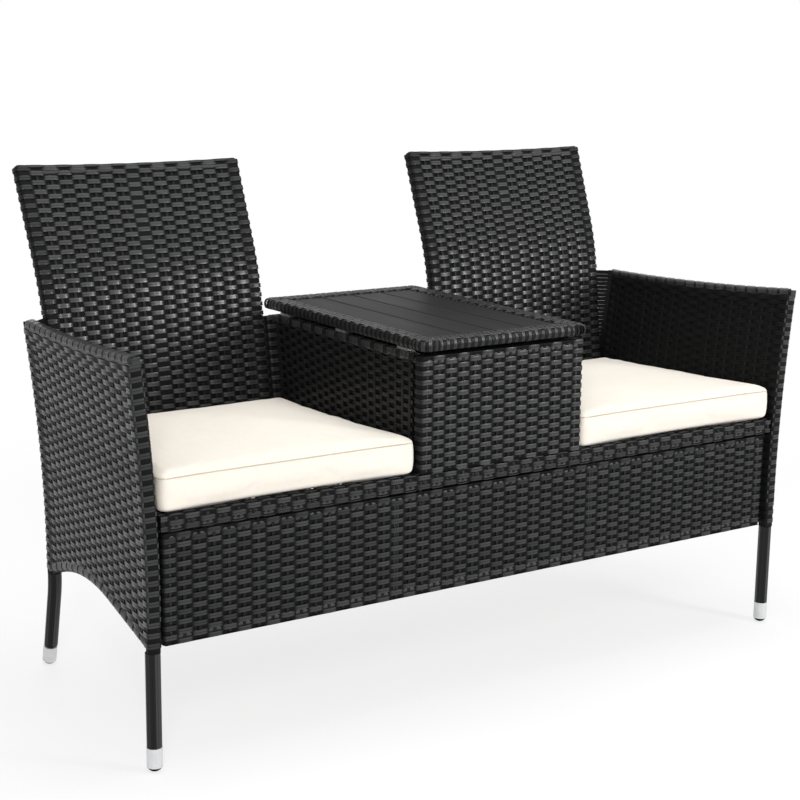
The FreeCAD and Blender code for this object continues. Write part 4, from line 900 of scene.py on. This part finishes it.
def makeRim(name):
    stops = rimPath()
    middle = (rim["low"] + rim["high"]) / 2
    half = (rim["high"] - rim["low"]) / 2 - 0.8
    spread = math.tan(math.radians(45 / rim["fan"])) * 2.1  # a corner strand's width for each mm from the corner
    strands = Strands()
    for index, (spot, out, reach, corner) in enumerate(stops):
        section = hemSection(reach / 2 - 0.8, half, min(rim["round"], half - 0.5))
        flat = np.stack([np.linspace(reach / 2 - 9, 9 - reach / 2, 11), np.full(11, half), np.zeros(11),
                         np.ones(11)], -1)
        order = np.concatenate([section[:3], flat, section[3:]])
        pair = 1 if (index // 2) % 2 else -1
        top = (order[:, 3] > 0.99) & (np.abs(order[:, 0]) < reach / 2 - 6)
        beat = np.where(top, beatAt(order[:, 0] * rim["width"] / reach / rim["lane"]) * pair, 1.0)
        dip = np.where(top, 1.1 * (beat - 1), 0.0)
        path = (np.append(spot, middle) + out * (reach / 2 + order[:, :1])
                + vertical * (order[:, 1:2] + dip[:, None]))
        wide = np.full(len(order), rim["pitch"] * 0.96)
        if corner:
            wide = np.minimum(wide, np.maximum(1.0, spread * (reach / 2 + order[:, 0])))
        # the top gets painted crest light and recess shade; the side turns are painted alternately lit and dark,
        # as highlights and shade
        strands.lay(path, out * order[:, 2:3] + vertical * order[:, 3:4], wide, rim["thick"], closed=True,
                    rise=np.where(top, 0.6 * beat - 0.12, 0.5 if index % 2 else 0.0))
    strands.piece(f"{name}_weave", "strand", stands=[name])
    runners = Strands()
    for lane in (-1, 0, 1):
        path, paintedLaneLight = [], []
        for index, (spot, out, reach, corner) in enumerate(stops):
            over = (-1 if (index // 2) % 2 else 1) * math.cos(math.pi * lane)
            across = reach / 2 + lane * rim["lane"] * reach / rim["width"]
            path.append(np.append(spot, rim["high"] - 1.75 + 0.85 * over) + out * across)
            # the runners are painted lit where they pass over and in shade where under
            paintedLaneLight.append(0.5 * over - 0.15)
        runners.lay(path, vertical, rim["runWide"], rim["runThick"], closed=True, rise=np.array(paintedLaneLight))
    runners.piece(f"{name}_runners", "strand")
    rings = []
    for spot, out, reach, corner in stops[::3]:
        section = hemSection(reach / 2 - 2.2, half - 2.4, 3.0)
        rings.append(np.append(spot, middle - 0.9) + out * (reach / 2 + section[:, :1])
                     + vertical * section[:, 1:2])
    fillShadeCore(f"{name}_shade_core", rings, closed=True)


makeRim("table_rim")
print("table rim wound")


# legs: strands laid lengthwise round the tube

legs = {"front": [(629.5, 0.0, 38.6), (629.5, 0.0, 186.6)],
        "rear": [(592.07, 485.0, 40.0), (597.0, 446.0, 158.0), (597.0, 446.0, 180.6)],
        "bend": 21.0, "count": 9, "radius": 11.5, "thick": 1.6, "tone": 0.6, "paintedLaneLight": (0.1, 0.75, 0.25)}


def legSpine(end):
    line = np.array(legs[end]) + np.array([0, frontLegY, 0])
    if end == "front":
        return line
    foot, rake, hem = line
    start, last = rake + unit(foot - rake) * legs["bend"], rake + vertical * legs["bend"]
    return np.array([foot, *(bendAt(start, rake, last, step / 8) for step in range(9)), hem])


def makeLegWrap(side, end, name):
    spine = flip(legSpine(end), side)
    along = unit(np.gradient(spine, axis=0))
    wide = 2 * math.pi * legs["radius"] / legs["count"] * 0.99
    strands = Strands()
    for lane in range(legs["count"]):
        a = 2 * math.pi * lane / legs["count"]
        out = np.array([math.cos(a), math.sin(a), 0.0])
        ways = unit(out - along * (along @ out)[:, None])
        # each lane's rise paints stripes of highlight and shade round the leg
        strands.lay(spine + ways * (legs["radius"] - legs["thick"] * 0.55), ways, wide, legs["thick"],
                    tone=legs["tone"], rise=legs["paintedLaneLight"][lane % 3])
    strands.piece(f"{name}_strands", "strand", stands=[name])


for side, tag in ((1, "right"), (-1, "left")):
    for end in ("front", "rear"):
        makeLegWrap(side, end, f"{end}_leg_wrap_{tag}")
print("legs wrapped")


# cushions

cushion = {"corner": 15.0, "waist": 3.0, "taper": 30.0, "seam": 52.0, "crown": 21.0, "crownPower": 2.6,
           "voxel": 0.0045, "pressure": 2.2, "stiff": 40, "bend": 4, "quality": 6, "frames": 20, "cap": 0.0035,
           "thread": (1.7, 1.3)}
# how far in from the side, and how high as a share of the seam's height
cushionSide = [(26.0, 0.0), (12.0, 0.004), (4.0, 0.03), (0.8, 0.09), (-0.4, 0.22), (-1.0, 0.4), (-1.2, 0.58),
               (-0.9, 0.76), (-0.4, 0.9), (0.0, 1.0), (2.4, 1.055), (6.5, 1.1), (14.0, 1.135), (28.0, 1.16)]


def cushionRing(low, high, inset):
    # a rounded four-cornered outline, wider at the front
    corner = max(cushion["corner"] - inset, 4.0)
    back = inset + corner
    marks = ((high[0], low[1], 1, -1, -90), (high[0] - cushion["taper"], high[1], 1, 1, 0),
             (low[0], high[1], -1, 1, 90), (low[0], low[1], -1, -1, 180))
    turns = [(x - wayX * back + corner * math.cos(math.radians(start + 15 * step)),
              y - wayY * back + corner * math.sin(math.radians(start + 15 * step)))
             for x, y, wayX, wayY, start in marks for step in range(7)]
    turns = np.array(turns)
    spots = []
    for index, spot in enumerate(turns):
        count = 30 if index % 7 == 6 else 1  # more points along the sides
        spots += [spot + (turns[(index + 1) % len(turns)] - spot) * step / count for step in range(count)]
    middle, half = (low[:2] + high[:2]) / 2, (high[:2] - low[:2]) / 2
    share = (np.array(spots) - middle) / half
    drawn = cushion["waist"] * (1 - np.minimum(share[:, ::-1] ** 2, 1)) * np.sign(share) * np.abs(share) ** 3
    return np.array(spots) - drawn


def cushionFoot(low, high, y):  # the seat's height under the cushion
    return low[2] + (high[1] - y) * math.tan(seatTilt)


def crownAt(share):  # 1 in the middle, 0 at the rim
    return np.clip(1 - np.abs(share) ** cushion["crownPower"], 0, 1)


def cushionBlank(name, low, high, side):
    middle = (low[:2] + high[:2]) / 2
    first, last = cushionSide[0], cushionSide[-1]
    rise = cushion["seam"] * (1 - last[1]) + cushion["crown"]
    levels = [(first[0], part, 0.0) for part in (0.02, 0.35, 0.7)]
    levels += [(inset, 1.0, share * cushion["seam"]) for inset, share in cushionSide]
    levels += [(last[0], part, last[1] * cushion["seam"])
               for part in (0.9, 0.8, 0.7, 0.6, 0.5, 0.4, 0.3, 0.2, 0.1, 0.02)]
    rings = []
    for inset, part, height in levels:
        flat = middle + (cushionRing(low, high, inset) - middle) * part
        if height > cushion["seam"] * 1.15:  # the crown
            back = (flat[:, 1] - low[1]) / (high[1] - low[1])
            right = high[0] - cushion["taper"] * back
            across = (2 * flat[:, 0] - low[0] - right) / (right - low[0] - 2 * inset)
            along = (2 * flat[:, 1] - low[1] - high[1]) / (high[1] - low[1] - 2 * inset)
            height = height + rise * crownAt(across) * crownAt(along)
        rings.append(flip(np.column_stack([flat, cushionFoot(low, high, flat[:, 1]) + height]), side))
    made = ringMesh(name, rings, inward=side < 0)
    bpy.context.view_layer.objects.active = made
    made.data.remesh_voxel_size = cushion["voxel"]
    made.data.remesh_voxel_adaptivity = 0.0
    with bpy.context.temp_override(object=made, active_object=made, selected_objects=[made]):
        bpy.ops.object.voxel_remesh()
    return made


def spotsOf(mesh):
    spots = np.zeros(len(mesh.vertices) * 3)
    mesh.vertices.foreach_get("co", spots)
    return spots.reshape(-1, 3)


def puff(made):  # cloth under pressure, with each point's travel kept short
    start = spotsOf(made.data)
    cloth = made.modifiers.new("puff", "CLOTH")
    cloth.settings.use_pressure = True
    cloth.settings.uniform_pressure_force = cushion["pressure"]
    cloth.settings.effector_weights.gravity = 0
    cloth.settings.quality = cushion["quality"]
    cloth.settings.tension_stiffness = cloth.settings.compression_stiffness = cushion["stiff"]
    cloth.settings.bending_stiffness = cushion["bend"]
    scene = bpy.context.scene
    for step in range(1, cushion["frames"] + 1):
        scene.frame_set(step)
    shift = spotsOf(made.evaluated_get(bpy.context.evaluated_depsgraph_get()).to_mesh()) - start
    made.modifiers.remove(cloth)
    scene.frame_set(1)
    size = np.linalg.norm(shift, axis=1)[:, None]
    shift *= np.minimum(1, cushion["cap"] / np.maximum(size, 1e-9))
    made.data.vertices.foreach_set("co", (start + shift).ravel())


def makeCushion(name, side):
    low, high = (np.array(corner) * 1000 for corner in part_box(name))
    if side < 0:
        low[0], high[0] = -high[0], -low[0]
    made = cushionBlank(f"{name}_pad", low, high, side)
    puff(made)
    made.data.update()
    smooth = made.modifiers.new("even", "SMOOTH")
    smooth.iterations = 2
    smooth.factor = 0.5
    finer = made.modifiers.new("finer", "SUBSURF")
    finer.levels = finer.render_levels = 1
    shown = bpy.data.meshes.new_from_object(made.evaluated_get(bpy.context.evaluated_depsgraph_get()))
    made.modifiers.clear()
    made.data = shown
    shown.materials.clear()
    shown.materials.append(finishes["cloth"])
    shown.polygons.foreach_set("use_smooth", np.ones(len(shown.polygons), bool))
    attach(made, name)
    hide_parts(name)
    sewSeam(name, made, low, high, side)


def sewSeam(name, made, low, high, side):  # thread on the pad's skin, found by rays from outside
    tree = BVHTree.FromObject(made, bpy.context.evaluated_depsgraph_get())
    ring, ways = [], []
    for spot in cushionRing(low, high, 0.0):
        aim = unit(spot - (low[:2] + high[:2]) / 2)
        level = cushionFoot(low, high, spot[1]) + cushion["seam"]
        far = flip(np.append(spot + aim * 40, level), side) * 0.001
        hit, normal, _, _ = tree.ray_cast(Vector(far), -Vector(flip(np.append(aim, 0.0), side)))
        ring.append(np.array(hit) * 1000)
        ways.append(np.array(normal))
    ring, ways = np.array(ring), np.array(ways)
    for _ in range(2):
        ring = (np.roll(ring, 1, 0) + 2 * ring + np.roll(ring, -1, 0)) / 4
    seam = Strands()
    seam.lay(ring + ways * 0.3, ways, *cushion["thread"], closed=True)
    seam.piece(f"{name}_seam", "seam", body=name)


for side, tag in ((-1, "left"), (1, "right")):
    makeCushion(f"cushion_{tag}", side)
print("cushions stuffed")


# finishes of the pieces that keep their built shape

slotFinish = {"tube": "coat", "slat": "plank", "strap": "steel", "fastener": "bolt", "glide": "rubber",
              "sleeve": "sleeve", "wicker": "strand", "cushion": "cloth"}
for entry in frame["record"]["subparts"]:
    shown = nodes[entry["node"]]
    shown.data.materials.clear()
    shown.data.materials.append(finishes[slotFinish[entry["material_slot"]]])
print("built pieces finished")


# floor, light and camera

stage = {"reach": 14.0, "floor": 0.93, "near": 0.9, "far": 2.0, "sky": 0.5, "pale": 0.72}
lamps = {"key": {"spot": (-1.9, -2.6, 1.9), "aim": (0, 0, 0.5), "size": (0.7, 1.0), "power": 46},
         "top": {"spot": (0.2, 0.2, 3.0), "aim": (0, 0, 0.4), "size": (2.2, 1.6), "power": 52},
         "side": {"spot": (1.7, -2.7, 1.2), "aim": (0, 0, 0.5), "size": (0.6, 1.2), "power": 44}}
camera = {"spot": (-1.6581, -2.4461, 1.0853), "azimuth": -33.915, "elevation": 12.21, "roll": 0.717,
          "lens": 76.96, "sensor": 36.0}


def makeFloor():
    mesh = bpy.data.meshes.new("floor")
    corners = [(-1, -1, 0), (1, -1, 0), (1, 1, 0), (-1, 1, 0)]
    mesh.from_pydata((np.array(corners) * stage["reach"]).tolist(), [], [(0, 1, 2, 3)])
    floor = link("floor", mesh)
    made = Finish("pale_floor", {"Roughness": 0.9, "Specular IOR Level": 0.0,
                                 "Base Color": (*grey(stage["floor"]), 1)})
    spot = made.node("ShaderNodeTexCoord", out="Object")
    distance = made.node("ShaderNodeVectorMath", {"operation": "LENGTH"}, {0: spot}, out="Value")
    fade = made.fade(distance, stage["near"], stage["far"], stage["pale"])
    seen = made.ray("Camera") + made.ray("Glossy") + made.ray("Transmission")
    white = made.node("ShaderNodeEmission", inputs={"Color": (1, 1, 1, 1), "Strength": 1.0})
    lit = Wire(made, made.shader.outputs[0])
    mixed = made.node("ShaderNodeMixShader", inputs={0: fade * seen, 1: lit, 2: white})
    made.feed(made.tree.nodes["Material Output"].inputs["Surface"], mixed)
    mesh.materials.append(made.material)


def makeWorld():  # white where it is seen, dimmer as a light
    world = bpy.data.worlds.new("studio")
    bpy.context.scene.world = world
    made = Graph(world)
    seen = made.ray("Camera")
    for kind in ("Glossy", "Transmission"):
        seen = made.node("ShaderNodeMath", {"operation": "MAXIMUM"}, {0: seen, 1: made.ray(kind)})
    level = made.node("ShaderNodeMapRange", inputs={"Value": seen, "To Min": stage["sky"], "To Max": 1.0})
    back = made.tree.nodes["Background"]
    made.feed(back.inputs["Strength"], level)
    made.feed(back.inputs["Color"], (1, 1, 1, 1))


def softbox(name, spot, aim, size, power):
    lamp = bpy.data.lights.new(name, "AREA")
    lamp.shape = "RECTANGLE"
    lamp.size, lamp.size_y = size
    lamp.energy = power
    made = link(name, lamp)
    made.location = spot
    made.rotation_euler = (Vector(aim) - Vector(spot)).to_track_quat("-Z", "Y").to_euler()


def makeCamera():
    a, e, r = (math.radians(camera[key]) for key in ("azimuth", "elevation", "roll"))
    back = Vector((math.sin(a) * math.cos(e), -math.cos(a) * math.cos(e), math.sin(e)))
    right = Vector((0, 0, 1)).cross(back).normalized()
    up = back.cross(right)
    right, up = right * math.cos(r) + up * math.sin(r), up * math.cos(r) - right * math.sin(r)
    lens = bpy.data.cameras.new("camera")
    lens.lens, lens.sensor_width = camera["lens"], camera["sensor"]
    lens.clip_start, lens.clip_end = 0.05, 60
    made = link("camera", lens)
    made.matrix_world = Matrix.Translation(camera["spot"]) @ Matrix((right, up, back)).transposed().to_4x4()
    bpy.context.scene.camera = made


makeFloor()
makeWorld()
for name, lamp in lamps.items():
    softbox(name, **lamp)
makeCamera()
bpy.context.scene.view_settings.view_transform = "Standard"
print("stage set")
